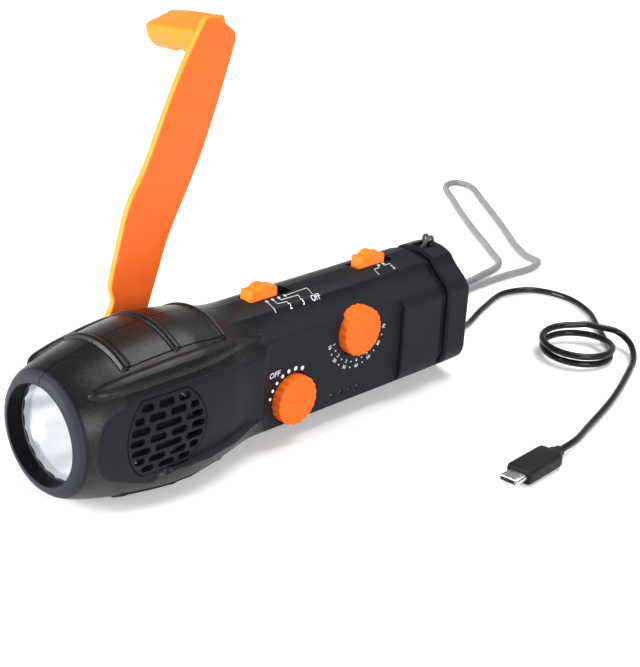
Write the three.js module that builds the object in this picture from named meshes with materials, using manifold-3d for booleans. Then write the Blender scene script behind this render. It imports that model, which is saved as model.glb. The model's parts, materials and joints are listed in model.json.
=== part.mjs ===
// A hand crank flashlight with a radio: a housing in two halves and a tail block, the lamp,
// the loudspeaker, knobs and slide switches, the crank with its gear train and generator,
// the charging lead and the wrist strap.
// Millimetres. X runs from the lens to the tail, +Z is up, and the knobs are on the -Y side.
// The origin is on the flat belly, straight below the crank's axis.
import * as THREE from "three";
import { mergeVertices } from "three/addons/utils/BufferGeometryUtils.js";
import Module from "manifold-3d";

// Housing
const totalLength = 200;
const headLength = 88;
const headRadius = 30.9;
const sideHalfWidth = 26.8;
const sideCrownRadius = 47;
const bodyHalfWidth = 21;
const bodyRise = 26.7;
const bellyDrop = 27;
const bodyEnd = 182;
const wall = 2;
const seamGap = 0.3;
const fitGap = 0.3;
const runGap = 0.4;
const overrun = 8;
const crankX = 57;

// Head profile as [share of headLength, share of headRadius]
const headProfileShares = [
  [0.011, 0.689], [0.034, 0.741], [0.068, 0.783], [0.114, 0.825], [0.17, 0.864],
  [0.227, 0.9], [0.341, 0.951], [0.432, 0.984], [0.511, 1], [0.591, 1], [0.682, 0.971],
  [0.75, 0.944], [0.813, 0.919], [0.875, 0.895], [0.938, 0.87], [1, 0.848],
];
// Plan curve of the head's flattened sides as [share of headLength, share of sideHalfWidth]
const sidePlanShares = [
  [0, 0.91], [0.08, 0.91], [0.227, 0.97], [0.398, 1], [0.568, 0.996], [0.739, 0.933],
  [0.886, 0.832], [1, 0.776],
];
// Half section of the body as [share of bodyHalfWidth, share of bodyRise], top to bottom
const sectionShares = [
  [0, 1], [0.24, 0.977], [0.45, 0.912], [0.5, 0.86], [0.62, 0.762], [0.75, 0.68],
  [0.852, 0.618], [1, 0.479], [1, -0.547], [0.929, -0.674], [0.667, -0.828],
  [0.3, -1.03], [0, -1.03],
];
const blendStartShare = 0.75;
const ledgeUpperAngle = 33.4;
const ledgeLowerAngle = -28.8;
const ledgeLowerNoseAngle = -36;
const ledgeNoseShare = 0.33;
const ledgeFullShare = 0.432;
const ledgeStepAngle = 0.15;
const skinFillAngles = [
  90, 73, 53, 37.5, 16, 0, -15, -50, -67, -90,
];
const cavityAngles = [90, 73, 62, 48, 34, 20, 0, -18, -34, -45, -58, -74, -90];
const cavityStationShares = [0.17, 0.26, 0.38, 0.511, 0.64, 0.75, 0.875];

// Front: bezel, lens, reflector and lamp
const bezelRadius = 18.2;
const bezelRim = 0.4;
const lensRecess = 5.4;
const lensRadius = 19.1;
const lensThickness = 1.8;
const lensDome = 0.5;
const sealThickness = 1;
const sealWidth = 1.3;
const reflectorFlange = 1;
const reflectorWall = 1;
const reflectorFocus = 4;
const reflectorDepth = 18.5;
const reflectorHole = 3.2;
const ribThickness = 1.7;
const lampRadius = 2.6;
const lampHeight = 1.6;
const lampBoardRadius = 8;
const lampBoardThickness = 1.6;

// Top pad with its three cross ribs
const padStart = 22.6;
const padEnd = 69.4;
const padHeight = 0.5;
const padRibHeight = 1.2;
const padRibHalfWidth = 1.3;
const padAngle = 34;
const padRibShares = [0.03, 0.48, 0.97];

// Long ridges beside the pad as [share of headLength, upper angle, lower angle, height share]
const ridgeHeight = 1.25;
const ridgeRoot = 1;
const ridgeShares = [
  [0.1, 48.5, 46.3, 0.1], [0.106, 49.8, 43.5, 0.5], [0.116, 50.7, 40.6, 0.8],
  [0.142, 51.6, 37.4, 1], [0.2, 52, 34.9, 1], [0.386, 52, 34.5, 1], [0.557, 52, 34.5, 1],
  [0.682, 52.7, 37, 1], [0.795, 53.5, 41.8, 1], [0.886, 54, 45.5, 0.8], [0.966, 52, 49, 0.2],
];

// Loudspeaker and its grille
const speakerX = 34.6;
const speakerZ = 0.4;
const grilleRadius = 17;
const grilleFlat = 14;
const slotPitch = 3.75;
const slotHeight = 2.4;
// Slot rows from the middle row outwards as [middle of the slot, its length]
const slotRows = [
  [[-13.2, 5.9], [-4.6, 7], [4.6, 7], [13.2, 5.9]],
  [[-11.6, 7.6], [0, 11.6], [11.6, 7.6]],
  [[-11.8, 3.9], [-4.6, 7], [4.6, 7], [11.8, 3.9]],
  [[-8, 5], [0, 7], [8, 5]],
];
const speakerRimRadius = 15.6;
const speakerRimThickness = 1.4;
const speakerFront = 21.4;
const speakerDepth = 8;
const speakerNeckRadius = 9;
const magnetRadius = 9.3;
const magnetThickness = 4.2;
const coneThickness = 0.7;
const coneRadius = 12.6;
const coneDepth = 4;

// Control panel, knobs and indicator holes
const panelDepth = 2.7;
const panelLeft = 87.6;
const panelLean = 3.2;
const panelRight = 159.8;
const panelTop = 17;
const panelCornerShares = [[0, -1], [0, 0.12], [0.012, 0.7], [0.022, 0.9], [0.04, 1]];
const knobRadius = 9.83;
const knobProud = 0.7;
const knobThickness = 6;
const knobScallops = 20;
const knobScallopDepth = 0.4;
const knobBevel = 0.8;
const knobStemRadius = 2.8;
const wellGap = 0.4;
const wellFloorGap = 0.3;
const volumeX = 101.9;
const volumeZ = -9.4;
const tuningX = 135.6;
const tuningZ = 9.6;
const indicatorX = 123.8;
const indicatorPitch = 4.6;
const indicatorCount = 4;
const indicatorZ = -14.8;
const indicatorHoleRadius = 1.1;
const pipeHalfHeight = 1.8;
const pipeMargin = 2.4;
const pipeFrontGap = 0.3;

// Slide switches in the top seam
const slotHalfWidth = 3.6;
const capGap = 0.3;
const capRise = 4.6;
const capCorner = 1.6;
const plateThickness = 0.8;
const plateSideRoom = 0.3;
const plateDrop = 3;
const modeSlotStart = 92.4;
const modeSlotLength = 20.8;
const modeCapLength = 14.4;
const modeTravel = 6;
const bandSlotStart = 149.5;
const bandSlotLength = 20;
const bandCapLength = 14;
const bandCapStart = 152;
const bandTravel = 2.5;
const switchBodyHeight = 4.4;
const switchBodyHalfWidth = 3.8;
const switchBodyInset = 2;
// Side view of a cap as [share of its length, share of its height]
const capShares = [
  [0, 0], [0, 0.6], [0.05, 0.78], [0.1, 0.82], [0.2, 0.71], [0.32, 0.77], [0.43, 0.96],
  [0.5, 1], [0.57, 0.97], [0.68, 0.76], [0.8, 0.64], [0.9, 0.66], [0.96, 0.6], [1, 0.44], [1, 0],
];

// Electronics
const boardThickness = 1.6;
const boardFront = 7;
const boardStart = 92;
const boardEnd = 165;
const boardLow = 16;
const boardHigh = 17;
const potRadius = 8;
const tuningBoxHalf = 8;
const pillarRadius = 2;
const pillarInset = 2.6;
const batteryRadius = 9.2;
const batteryLength = 65;
const batteryStart = 96;
const batteryY = 7.5;
const batteryZ = -12;
const terminalRadius = 2.8;
const terminalLength = 1.2;
const rodRadius = 4;
const rodLength = 60;
const rodStart = 95;
const rodY = 12.6;
const rodZ = 8;
const aerialRadius = 6;
const aerialStart = 118;
const aerialLength = 14;
const cradleThickness = 2;
const cradleShares = [0.16, 0.84];

// Gear train and generator
const gearModule = 1;
const crankTeeth = 30;
const pinionTeeth = 10;
const idlerTeeth = 26;
const rotorTeeth = 8;
const gearBacklash = 0.25;
const gearPlateY = 10.6;
const gearPlateThickness = 2;
const gearPlateStart = 40;
const gearPlateEnd = 84;
const idlerGearWidth = 2.2;
const crankGearWidth = 2.8;
const gearStackGap = 0.6;
const shaftRadius = 4;
const shaftPilotRadius = 2;
const axleRadius = 1.5;
const boreGap = 0.3;
const generatorAngle = 225;
const canRadius = 11.5;
const canWall = 1.5;
const canDepth = 16.7;
const rotorRadius = 9.2;
const rotorShaftRadius = 1.2;

// Crank arm and handle
const armGap = 0.4;
const armThickness = 3;
const armReach = 125.5;
const hubRadius = 21.5;
const hubScrewHeadRadius = 3.6;
const hubScrewHeadHeight = 1.6;
const hubScrewRadius = 1.5;
const hubScrewLength = 7;
// Arm edges as shares of armReach, from the pivot: first the lens side going up, then down
const armEdgeShares = [
  [-0.06, 0.13], [-0.044, 0.167], [-0.03, 0.193], [-0.024, 0.215], [-0.033, 0.237],
  [-0.036, 0.255], [-0.027, 0.3], [-0.004, 0.381], [0.015, 0.456], [0.038, 0.509],
  [0.092, 0.596], [0.167, 0.763], [0.213, 0.856], [0.283, 0.971], [0.305, 1],
  [0.347, 0.998], [0.417, 0.946], [0.421, 0.924], [0.403, 0.869], [0.358, 0.746],
  [0.312, 0.629], [0.265, 0.531], [0.202, 0.417], [0.167, 0.343], [0.155, 0.306], [0.09, 0.12],
];
const armEdgeBevel = 0.5;
const handleAxisX = 101;
const handleAxisZ = 115.8;
const handleTilt = 16.4;
const handleWidth = 15.5;
const handleHeight = 11.4;
const handleLength = 29.5;
const handleDrop = 3;
const handleCorner = 2;
const handleTaper = 0.8;
const handleScoop = 4.6;
const handleWall = 1.8;
const handleHollow = 5;
const pinRadius = 2;
const pinHeadRadius = 3.4;
const pinHeadHeight = 1.6;

// Tail block, its neck and the strap bar
const tailStart = 187;
const neckInset = 2;
const spigotInset = 6;
const spigotLength = 5;
const tailBevel = 1;
const tailWall = 2.4;
const tailSideShare = 0.986;
const pocketStart = 189;
const pocketEnd = 196.2;
const pocketHalfWidth = 3.4;
const pocketDepth = 6.4;
const barRadius = 1.1;
const barDrop = 2.1;

// Housing screws along Y
const screwX = [88, 172];
const screwZ = [18.5, 17];
const bossRadius = 3.5;
const screwRadius = 1.4;
const screwHeadRadius = 2.8;
const screwHeadHeight = 2.2;
const screwSeat = 8;
const screwReach = 6;

// Charging lead
const leadDiameter = 2.8;
const leadSides = 8;
const glandRadius = 2.6;
const glandFlangeRadius = 3.6;
const glandFlangeLength = 1.6;
const glandNose = 4;
const glandZ = 0;
const coilRadius = 15;
const coilSteps = 24;
const coilSides = 6;
const coilRise = 3.6;
const coilSpread = 0.8;
const coilX = 198.4;
const coilY = -38.6;
const coilStartAngle = -48.6;
const coilSweep = 626;
const plugX = 108.5;
const plugY = -93.2;
const plugTurn = 184;
const reliefLength = 5.5;
const reliefWidth = 5.2;
const reliefHeight = 4;
const plugLength = 22;
const plugWidth = 11;
const plugHeight = 6.2;
const plugCorner = 1.6;
const plugTipLength = 6.7;
const plugTipWidth = 8.3;
const plugTipHeight = 2.5;
const plugTipCorner = 1.1;
// Route of the lead where it lies free, as [x, y, height of its middle]
const leadOut = [
  [147.3, 0, 27], [150.5, 0, 27], [157.5, 1, 23.5], [164, 3, 14], [171, 6, 5.5],
  [181, 9.5, 2.2], [205, 18.5, 2.1], [228, 24.5, 1.7], [242, 19, 1.6], [247, 3, 1.6],
  [241, -14, 1.6], [229, -28, 1.6],
];
const leadOn = [
  [217, -35.8, 7.6], [221.5, -43, 6.6], [220, -51, 4.4], [212, -59, 2.3], [197, -66.5, 1.7],
  [171, -77, 1.6], [141.6, -86.2, 1.8], [127, -91, 2.7],
];

// Wrist strap
const strapDiameter = 1.5;
const strapSides = 8;
const strapSliderLength = 15;
const strapSliderWidth = 9;
const strapSliderHeight = 4.6;
const strapSliderBevel = 1.2;
const strapSliderX = 184;
const strapSliderY = 34;
const strapSliderTurn = 12;
const strandGap = 2.6;
const loopWidth = 3.4;
const loopGap = 1;
const loopSides = 8;
// Strap cord from the slider up over the tail block to the bar, as [x, y from its middle, z]
const strapRoute = [
  [179.5, 33, 1], [172, 30.5, 1], [163, 25.5, 1.4], [157, 20, 5],
  [153, 14.5, 16], [150, 9.5, 32], [147, 6, 47], [143.5, 3.8, 54.2], [140, 2.6, 54.7],
];
// Wrist loop on the surface, from one side of the slider round to the other
const loopRoute = [
  [208, 37.2, 1.6], [225, 39.2, 1.6], [248, 39, 1.6], [266, 38, 1.6],
  [275, 41.5, 1.6], [277, 50, 1.6], [284, 62, 1.6], [304, 88, 1.6], [326, 118, 1.6],
  [342, 142, 1.6], [341, 150, 1.6], [332, 150, 1.6], [312, 127, 1.6], [288, 95, 1.6],
  [268, 66, 1.6], [256, 51, 1.6], [236, 46.4, 1.6], [214, 43, 1.6], [206.5, 41.2, 1.6],
];

const wasm = await Module();
wasm.setup();
const degree = Math.PI / 180;
const farX = totalLength * 2;

// A closed three.js geometry as a solid, turned face out
function solid(geometry) {
  const plain = new THREE.BufferGeometry();
  const source = geometry.index ? geometry.toNonIndexed() : geometry;
  plain.setAttribute("position", source.getAttribute("position"));
  const merged = mergeVertices(plain, 1e-4);
  const make = (triVerts) =>
    new wasm.Manifold(
      new wasm.Mesh({
        numProp: 3,
        vertProperties: new Float32Array(merged.attributes.position.array),
        triVerts,
      }),
    );
  const triVerts = new Uint32Array(merged.index.array);
  const made = make(triVerts);
  if (made.volume() > 0) return made;
  for (let i = 0; i < triVerts.length; i += 3) {
    [triVerts[i + 1], triVerts[i + 2]] = [triVerts[i + 2], triVerts[i + 1]];
  }
  return make(triVerts);
}

const join = (first, ...rest) => rest.reduce((whole, piece) => whole.add(piece), first);
const cut = (first, ...rest) => rest.reduce((whole, piece) => whole.subtract(piece), first);
const meet = (first, ...rest) => rest.reduce((whole, piece) => whole.intersect(piece), first);

// Straight lines through a table of [place, value], held at its ends
function along(table, place) {
  if (place <= table[0][0]) return table[0][1];
  for (let i = 1; i < table.length; i++) {
    const [before, low] = table[i - 1];
    const [after, high] = table[i];
    if (place <= after) return low + ((high - low) * (place - before)) / (after - before);
  }
  return table[table.length - 1][1];
}

// A block between two corners
function block(x0, x1, y0, y1, z0, z1) {
  const geometry = new THREE.BoxGeometry(x1 - x0, y1 - y0, z1 - z0);
  geometry.translate((x0 + x1) / 2, (y0 + y1) / 2, (z0 + z1) / 2);
  return solid(geometry);
}

// A profile of [x, radius] turned round the X axis, closed on the axis or on itself
function turnX(profile, segments, y = 0, z = 0) {
  const points = profile.map(([x, radius]) => new THREE.Vector2(radius, x));
  const geometry = new THREE.LatheGeometry(points, segments);
  geometry.rotateZ(-Math.PI / 2);
  geometry.translate(0, y, z);
  return solid(geometry);
}

// A profile of [y, radius] turned round an axis along Y at (x, z)
function turnY(profile, segments, x, z) {
  const points = profile.map(([y, radius]) => new THREE.Vector2(radius, y));
  const geometry = new THREE.LatheGeometry(points, segments);
  geometry.translate(x, 0, z);
  return solid(geometry);
}

// A round bar along Y, and one along X
function barY(x, z, radius, y0, y1, segments = 24) {
  return turnY([[y0, 0], [y0, radius], [y1, radius], [y1, 0]], segments, x, z);
}
function barX(y, z, radius, x0, x1, segments = 24) {
  return turnX([[x0, 0], [x0, radius], [x1, radius], [x1, 0]], segments, y, z);
}

// An outline of [x, z] points pushed along Y
function prismY(outline, y0, y1) {
  const shape = new THREE.Shape(outline.map(([x, z]) => new THREE.Vector2(x, z)));
  const geometry = new THREE.ExtrudeGeometry(shape, { depth: y1 - y0, bevelEnabled: false });
  geometry.rotateX(Math.PI / 2);
  geometry.translate(0, y1, 0);
  return solid(geometry);
}

// An outline of [x, y] points pushed along Z
function prismZ(outline, z0, z1) {
  const shape = new THREE.Shape(outline.map(([x, y]) => new THREE.Vector2(x, y)));
  const geometry = new THREE.ExtrudeGeometry(shape, { depth: z1 - z0, bevelEnabled: false });
  geometry.translate(0, 0, z0);
  return solid(geometry);
}

// An outline of [y, z] points pushed along X
function prismX(outline, x0, x1) {
  const shape = new THREE.Shape(outline.map(([y, z]) => new THREE.Vector2(y, z)));
  const geometry = new THREE.ExtrudeGeometry(shape, { depth: x1 - x0, bevelEnabled: false });
  geometry.rotateX(Math.PI / 2);
  geometry.rotateZ(Math.PI / 2);
  geometry.translate(x0, 0, 0);
  return solid(geometry);
}

// A skin over rings of the same number of points, capped at both ends
function loft(rings) {
  const count = rings[0].length;
  const positions = rings.flat().flatMap((point) => [point.x, point.y, point.z]);
  const faces = [];
  for (let ring = 0; ring + 1 < rings.length; ring++) {
    for (let k = 0; k < count; k++) {
      const a = ring * count + k;
      const b = ring * count + ((k + 1) % count);
      faces.push(a, b, a + count, b, b + count, a + count);
    }
  }
  [0, rings.length - 1].forEach((ring) => {
    const flat = rings[ring];
    const middle = flat.reduce((sum, point) => sum.clone().add(point), new THREE.Vector3());
    middle.divideScalar(count);
    const centre = positions.length / 3;
    positions.push(middle.x, middle.y, middle.z);
    for (let k = 0; k < count; k++) {
      const a = ring * count + k;
      const b = ring * count + ((k + 1) % count);
      if (ring) faces.push(a, b, centre);
      else faces.push(b, a, centre);
    }
  });
  const geometry = new THREE.BufferGeometry();
  geometry.setAttribute("position", new THREE.Float32BufferAttribute(positions, 3));
  geometry.setIndex(faces);
  return solid(geometry);
}

// A rectangle with round corners as [x, y] points
function roundedOutline(x0, x1, y0, y1, radius, steps = 4) {
  const corners = [
    [x1 - radius, y1 - radius, 0], [x0 + radius, y1 - radius, 1],
    [x0 + radius, y0 + radius, 2], [x1 - radius, y0 + radius, 3],
  ];
  return corners.flatMap(([x, y, quarter]) =>
    Array.from({ length: steps + 1 }, (_, step) => {
      const angle = (quarter + step / steps) * (Math.PI / 2);
      return [x + radius * Math.cos(angle), y + radius * Math.sin(angle)];
    }),
  );
}

// A round section pushed along a curve
function tube(points, diameter, sides, steps) {
  const curve = new THREE.CatmullRomCurve3(points, false, "centripetal");
  const section = new THREE.Shape(
    Array.from({ length: sides }, (_, side) => {
      const angle = ((side + 1 / 2) / sides) * 2 * Math.PI;
      return new THREE.Vector2(Math.cos(angle), Math.sin(angle)).multiplyScalar(diameter / 2);
    }),
  );
  const options = { steps, extrudePath: curve, bevelEnabled: false };
  return solid(new THREE.ExtrudeGeometry(section, options));
}

const torch = new THREE.Group();
torch.position.set(-crankX, 0, bellyDrop);
const laid = new THREE.Group();

// A named mesh of a solid in one of the groups
function piece(group, name, made, colour, roughness, metalness = 0) {
  const found = made.getMesh();
  const positions = new Float32Array(found.numVert * 3);
  for (let i = 0; i < found.numVert; i++) {
    const start = i * found.numProp;
    positions.set(found.vertProperties.subarray(start, start + 3), i * 3);
  }
  const geometry = new THREE.BufferGeometry();
  geometry.setAttribute("position", new THREE.BufferAttribute(positions, 3));
  geometry.setIndex(new THREE.BufferAttribute(new Uint32Array(found.triVerts), 1));
  geometry.computeVertexNormals();
  const material = new THREE.MeshStandardMaterial({ color: colour, roughness, metalness });
  const mesh = new THREE.Mesh(geometry, material);
  mesh.name = name;
  group.add(mesh);
  return made;
}

// Housing skin: one loft whose ring at each station runs from the head's section to the body's
const sideOffset = sideCrownRadius - sideHalfWidth;
const blendStart = headLength * blendStartShare;

const headRadiusAt = (x) => headRadius * along(headProfileShares, x / headLength);
const sideWidthAt = (x) => sideHalfWidth * along(sidePlanShares, x / headLength);

function sectionOutline(inset, halfWidth = bodyHalfWidth) {
  return sectionShares.map(([y, z]) => [y * (halfWidth - inset), z * (bodyRise - inset)]);
}

// Distance from the middle axis to the body's outline at an angle above the side
function bodyReach(angle, inset) {
  const outline = sectionOutline(inset);
  const ray = [Math.cos(angle * degree), Math.sin(angle * degree)];
  for (let i = 1; i < outline.length; i++) {
    const [ay, az] = outline[i - 1];
    const [by, bz] = outline[i];
    const over = az * ray[0] - ay * ray[1];
    const under = bz * ray[0] - by * ray[1];
    if (over < 0 || under > 0) continue;
    const share = over === under ? 0 : over / (over - under);
    return Math.hypot(ay + (by - ay) * share, az + (bz - az) * share);
  }
  return bodyRise - inset;
}

// The same for the head: turned profile, flattened at the sides between the two ledges
function headReach(x, angle, inset) {
  const round = headRadiusAt(x) - inset;
  const share = x / headLength;
  const rise = (share - ledgeNoseShare) / (ledgeFullShare - ledgeNoseShare);
  const lower = share < ledgeNoseShare
    ? -90
    : ledgeLowerNoseAngle + (ledgeLowerAngle - ledgeLowerNoseAngle) * Math.min(1, rise);
  if (angle > ledgeUpperAngle || angle < lower) return round;
  const across = sideOffset * Math.cos(angle * degree);
  const crown = sideWidthAt(x) + sideOffset - inset;
  return Math.min(round, Math.sqrt(across ** 2 - sideOffset ** 2 + crown ** 2) - across);
}

function skinReach(x, angle, inset = 0) {
  if (x <= blendStart) return headReach(x, angle, inset);
  if (x >= headLength) return bodyReach(angle, inset);
  const share = (x - blendStart) / (headLength - blendStart);
  const smooth = share * share * (3 - 2 * share);
  return headReach(x, angle, inset) * (1 - smooth) + bodyReach(angle, inset) * smooth;
}

// A ring of the skin, the right half's angles mirrored to the left
function skinRing(x, angles, inset, reach = skinReach) {
  const right = angles.map((angle) => [angle, reach(x, angle, inset)]);
  const left = right.slice(1, -1).reverse();
  const at = ([angle, distance], side) =>
    new THREE.Vector3(
      x,
      side * distance * Math.cos(angle * degree),
      distance * Math.sin(angle * degree),
    );
  return [...right.map((spot) => at(spot, 1)), ...left.map((spot) => at(spot, -1))];
}

const cornerAngles = sectionShares.map(
  ([y, z]) => Math.atan2(z * bodyRise, y * bodyHalfWidth) / degree,
);
const ledgeAngles = [ledgeUpperAngle, ledgeLowerAngle].flatMap((angle) => [
  angle + ledgeStepAngle,
  angle - ledgeStepAngle,
]);
const skinAngles = [...new Set([...skinFillAngles, ...cornerAngles, ...ledgeAngles])]
  .sort((a, b) => b - a)
  .filter((angle, i, all) => !i || all[i - 1] - angle > ledgeStepAngle);

// The belly is flat from end to end
function flatBelly(made, inset = 0) {
  const floor = inset - bellyDrop;
  const deep = headRadius * 2;
  return cut(made, block(-overrun, farX, -deep, deep, floor - deep, floor));
}

const rimRing = skinRing(0, skinAngles, 0, () => bezelRadius + bezelRim);
const headRings = headProfileShares
  .slice(0, -1)
  .map(([share]) => skinRing(share * headLength, skinAngles, 0));
const endRings = [headLength, bodyEnd].map((x) => skinRing(x, skinAngles, 0));
const outerSkin = flatBelly(loft([rimRing, ...headRings, ...endRings]));

// The hollow starts behind the rib that carries the reflector
const pocketX = lensRecess;
const ribX = lensRecess + lensThickness + sealThickness + 3 * fitGap + reflectorFlange;
const cavityX = ribX + ribThickness;
const cavityEnd = bodyEnd - wall;
const cavityStations = [
  cavityX,
  ...cavityStationShares.map((share) => share * headLength).filter((x) => x > cavityX),
  headLength,
  cavityEnd,
];
function hollow(inset) {
  const ends = inset - wall;
  const stations = cavityStations.map((x, i) => {
    if (!i) return x + ends;
    return i === cavityStations.length - 1 ? x - ends : x;
  });
  return flatBelly(loft(stations.map((x) => skinRing(x, cavityAngles, inset))), inset);
}
const cavity = hollow(wall);

// Top pad with cross ribs, cut from one turned profile
function padProfile() {
  const length = padEnd - padStart;
  const ribs = padRibShares.flatMap((share) => {
    const x = padStart + length * share;
    return [
      [x - padRibHalfWidth, padHeight], [x - padRibHalfWidth / 2, padRibHeight],
      [x + padRibHalfWidth / 2, padRibHeight], [x + padRibHalfWidth, padHeight],
    ];
  });
  const plain = headProfileShares
    .map(([share]) => [share * headLength, padHeight])
    .filter(([x]) => x > padStart && x < padEnd)
    .filter(([x]) => !ribs.some(([rib]) => Math.abs(rib - x) < padRibHalfWidth * 2));
  const spots = [[padStart, padHeight], [padEnd, padHeight], ...ribs, ...plain]
    .filter(([x]) => x >= padStart && x <= padEnd)
    .sort((a, b) => a[0] - b[0]);
  const top = spots.map(([x, height]) => [x, headRadiusAt(x) + height]);
  return [[padStart, headRadius / 2], ...top, [padEnd, headRadius / 2], [padStart, headRadius / 2]];
}
const padReach = headRadius * 2;
const padWedge = (up) => {
  const side = padReach * Math.tan(padAngle * degree);
  return prismX([[0, 0], [side, up * padReach], [-side, up * padReach]], 0, headLength);
};
const padTurned = cut(turnX(padProfile(), 36), hollow(wall / 2));
const pads = join(meet(padTurned, padWedge(1)), flatBelly(meet(padTurned, padWedge(-1))));

// Long ridge of one side, its section growing and fading along the head
function ridge(side) {
  const rings = ridgeShares.map(([share, upper, lower, height]) => {
    const x = share * headLength;
    const middle = (upper + lower) / 2;
    const quarter = (upper - lower) / 4;
    const rise = ridgeHeight * height;
    const spots = [
      [lower, -ridgeRoot], [lower, rise * 0.45], [lower + quarter * 0.7, rise * 0.92], [middle, rise],
      [upper - quarter * 0.7, rise * 0.92], [upper, rise * 0.45], [upper, -ridgeRoot],
    ];
    return spots.map(([angle, lift]) => {
      const reach = skinReach(x, angle) + lift;
      const across = side * reach * Math.cos(angle * degree);
      return new THREE.Vector3(x, across, reach * Math.sin(angle * degree));
    });
  });
  return loft(rings);
}

// What is cut from both shells
const farY = headRadius * 2;
const lensPocket = turnX(
  [[-overrun, 0], [-overrun, bezelRadius], [pocketX, bezelRadius],
    [pocketX, lensRadius + runGap], [ribX, lensRadius + runGap], [ribX, bezelRadius],
    [cavityX + overrun, bezelRadius], [cavityX + overrun, 0]],
  32,
);
const switchSlot = (start, length) =>
  block(start, start + length, -slotHalfWidth, slotHalfWidth, bodyRise - plateDrop, farY);
const modeSlot = switchSlot(modeSlotStart, modeSlotLength);
const bandSlot = switchSlot(bandSlotStart, bandSlotLength);

// Neck and spigot behind the body, with a way through for the lead
const spigotEnd = tailStart + spigotLength;
function bodyPrism(inset, x0, x1) {
  const half = sectionOutline(inset);
  const outline = [...half, ...half.slice(1, -1).reverse().map(([y, z]) => [-y, z])];
  return flatBelly(prismX(outline, x0, x1), inset);
}
const neck = join(
  bodyPrism(neckInset, bodyEnd - wall / 2, tailStart),
  bodyPrism(spigotInset + tailWall + fitGap, tailStart - wall / 2, spigotEnd),
);
const leadWay = barX(0, glandZ, leadDiameter / 2 + fitGap, cavityEnd - overrun, farX, 16);

// Screw bosses: a tube from the far wall and a blind post from the near wall
const screwSpots = screwX.flatMap((x, i) => [[x, screwZ[i]], [x, -screwZ[i]]]);
const bosses = screwSpots.map(([x, z]) => barY(x, z, bossRadius, -farY, farY, 10));
const screwHoles = screwSpots.map(([x, z]) =>
  join(
    barY(x, z, screwRadius + fitGap, -screwReach - fitGap, farY, 8),
    barY(x, z, screwHeadRadius + fitGap, screwSeat, farY, 12),
  ),
);

const wholeHousing = cut(
  join(cut(outerSkin, cavity), join(...bosses.map((boss) => meet(boss, outerSkin))), neck),
  lensPocket, modeSlot, bandSlot, leadWay, ...screwHoles,
);

// Near side: panel, wells, grille opening, speaker seat and board pillars
const panelY = panelDepth - bodyHalfWidth;
const panelHeight = panelTop + bellyDrop;
function panelRing(y, left) {
  const right = panelCornerShares.map(([inward, height]) => [
    panelRight - (panelRight - panelLeft) * inward,
    height < 0 ? -bellyDrop - overrun : height * panelTop,
  ]);
  const outline = [[left, -bellyDrop - overrun], ...right, [left, panelTop]];
  return outline.map(([x, z]) => new THREE.Vector3(x, y, z));
}
const panelLeanOut = (panelLean * overrun) / panelDepth;
const panelCut = loft([
  panelRing(panelY, panelLeft),
  panelRing(-bodyHalfWidth - overrun + panelDepth, panelLeft - panelLeanOut),
]);
const panelBack = block(
  panelLeft - panelLean - wall, panelRight + wall, panelY, panelY + wall, -bellyDrop, panelTop,
);
const knobBack = -bodyHalfWidth - knobProud + knobThickness;
const wellFloor = knobBack + wellFloorGap;
const wellRadius = knobRadius + wellGap;
const knobSpots = [[volumeX, volumeZ], [tuningX, tuningZ]];
const wellCuts = knobSpots.map(([x, z]) => barY(x, z, wellRadius, -farY, wellFloor, 26));
const wellBacks = knobSpots.map(([x, z]) =>
  barY(x, z, wellRadius + wall, -farY, wellFloor + wall, 16),
);
const stemHoles = knobSpots.map(([x, z]) =>
  barY(x, z, knobStemRadius + runGap, -farY, 0, 16),
);
const indicatorSpots = Array.from({ length: indicatorCount }, (_, i) => [
  indicatorX + indicatorPitch * i,
  indicatorZ,
]);
const indicatorHoles = indicatorSpots.map(([x, z]) =>
  barY(x, z, indicatorHoleRadius, -farY, 0, 8),
);
const boardBottom = -boardLow;
const pillarSpots = [
  [boardStart + pillarInset, boardHigh - pillarInset],
  [boardEnd - pillarInset, boardHigh - pillarInset],
  [boardEnd - pillarInset, boardBottom + pillarInset],
];
const pillars = pillarSpots.map(([x, z]) =>
  barY(x, z, pillarRadius, -bodyHalfWidth + wall / 2, -boardFront - fitGap, 8),
);

// The grille's plan: a circle with two flats
function grilleOutline(margin) {
  const radius = grilleRadius + margin;
  const flat = grilleFlat + margin;
  const turn = Math.asin(flat / radius);
  const arc = (from, to, steps) =>
    Array.from({ length: steps + 1 }, (_, i) => {
      const angle = from + ((to - from) * i) / steps;
      return [speakerX + radius * Math.cos(angle), speakerZ + radius * Math.sin(angle)];
    });
  return [...arc(-turn, turn, 10), ...arc(Math.PI - turn, Math.PI + turn, 10)];
}
const grilleInside = speakerFront - magnetThickness;
const grillePlug = (margin) => prismY(grilleOutline(margin), -farY, -grilleInside);

const nearBlock = block(-overrun, farX, -farY, -seamGap / 2, -farY, farY);
const farBlock = block(-overrun, farX, seamGap / 2, farY, -farY, farY);
const nearWhole = cut(
  join(
    wholeHousing,
    pads,
    ridge(-1),
    meet(join(panelBack, ...wellBacks, ...pillars), outerSkin),
  ),
  panelCut, ...wellCuts, ...stemHoles, ...indicatorHoles, grillePlug(fitGap),
  modeSlot, bandSlot, ...screwHoles,
);
const nearShell = meet(nearWhole, nearBlock);

// Grille: the same wall with rows of round-ended slots, longer in the middle rows
const slotTable = [...slotRows.slice(1).reverse(), ...slotRows];
const grilleSlots = slotTable.flatMap((row, i) =>
  row.map(([across, length]) => {
    const x = speakerX + across;
    const z = speakerZ + slotPitch * ((slotTable.length - 1) / 2 - i);
    const outline = roundedOutline(
      x - length / 2, x + length / 2, z - slotHeight / 2, z + slotHeight / 2,
      slotHeight / 2, 1,
    );
    return prismY(outline, -farY, 0);
  }),
);
const grille = cut(meet(cut(outerSkin, cavity), grillePlug(0)), ...grilleSlots);

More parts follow.
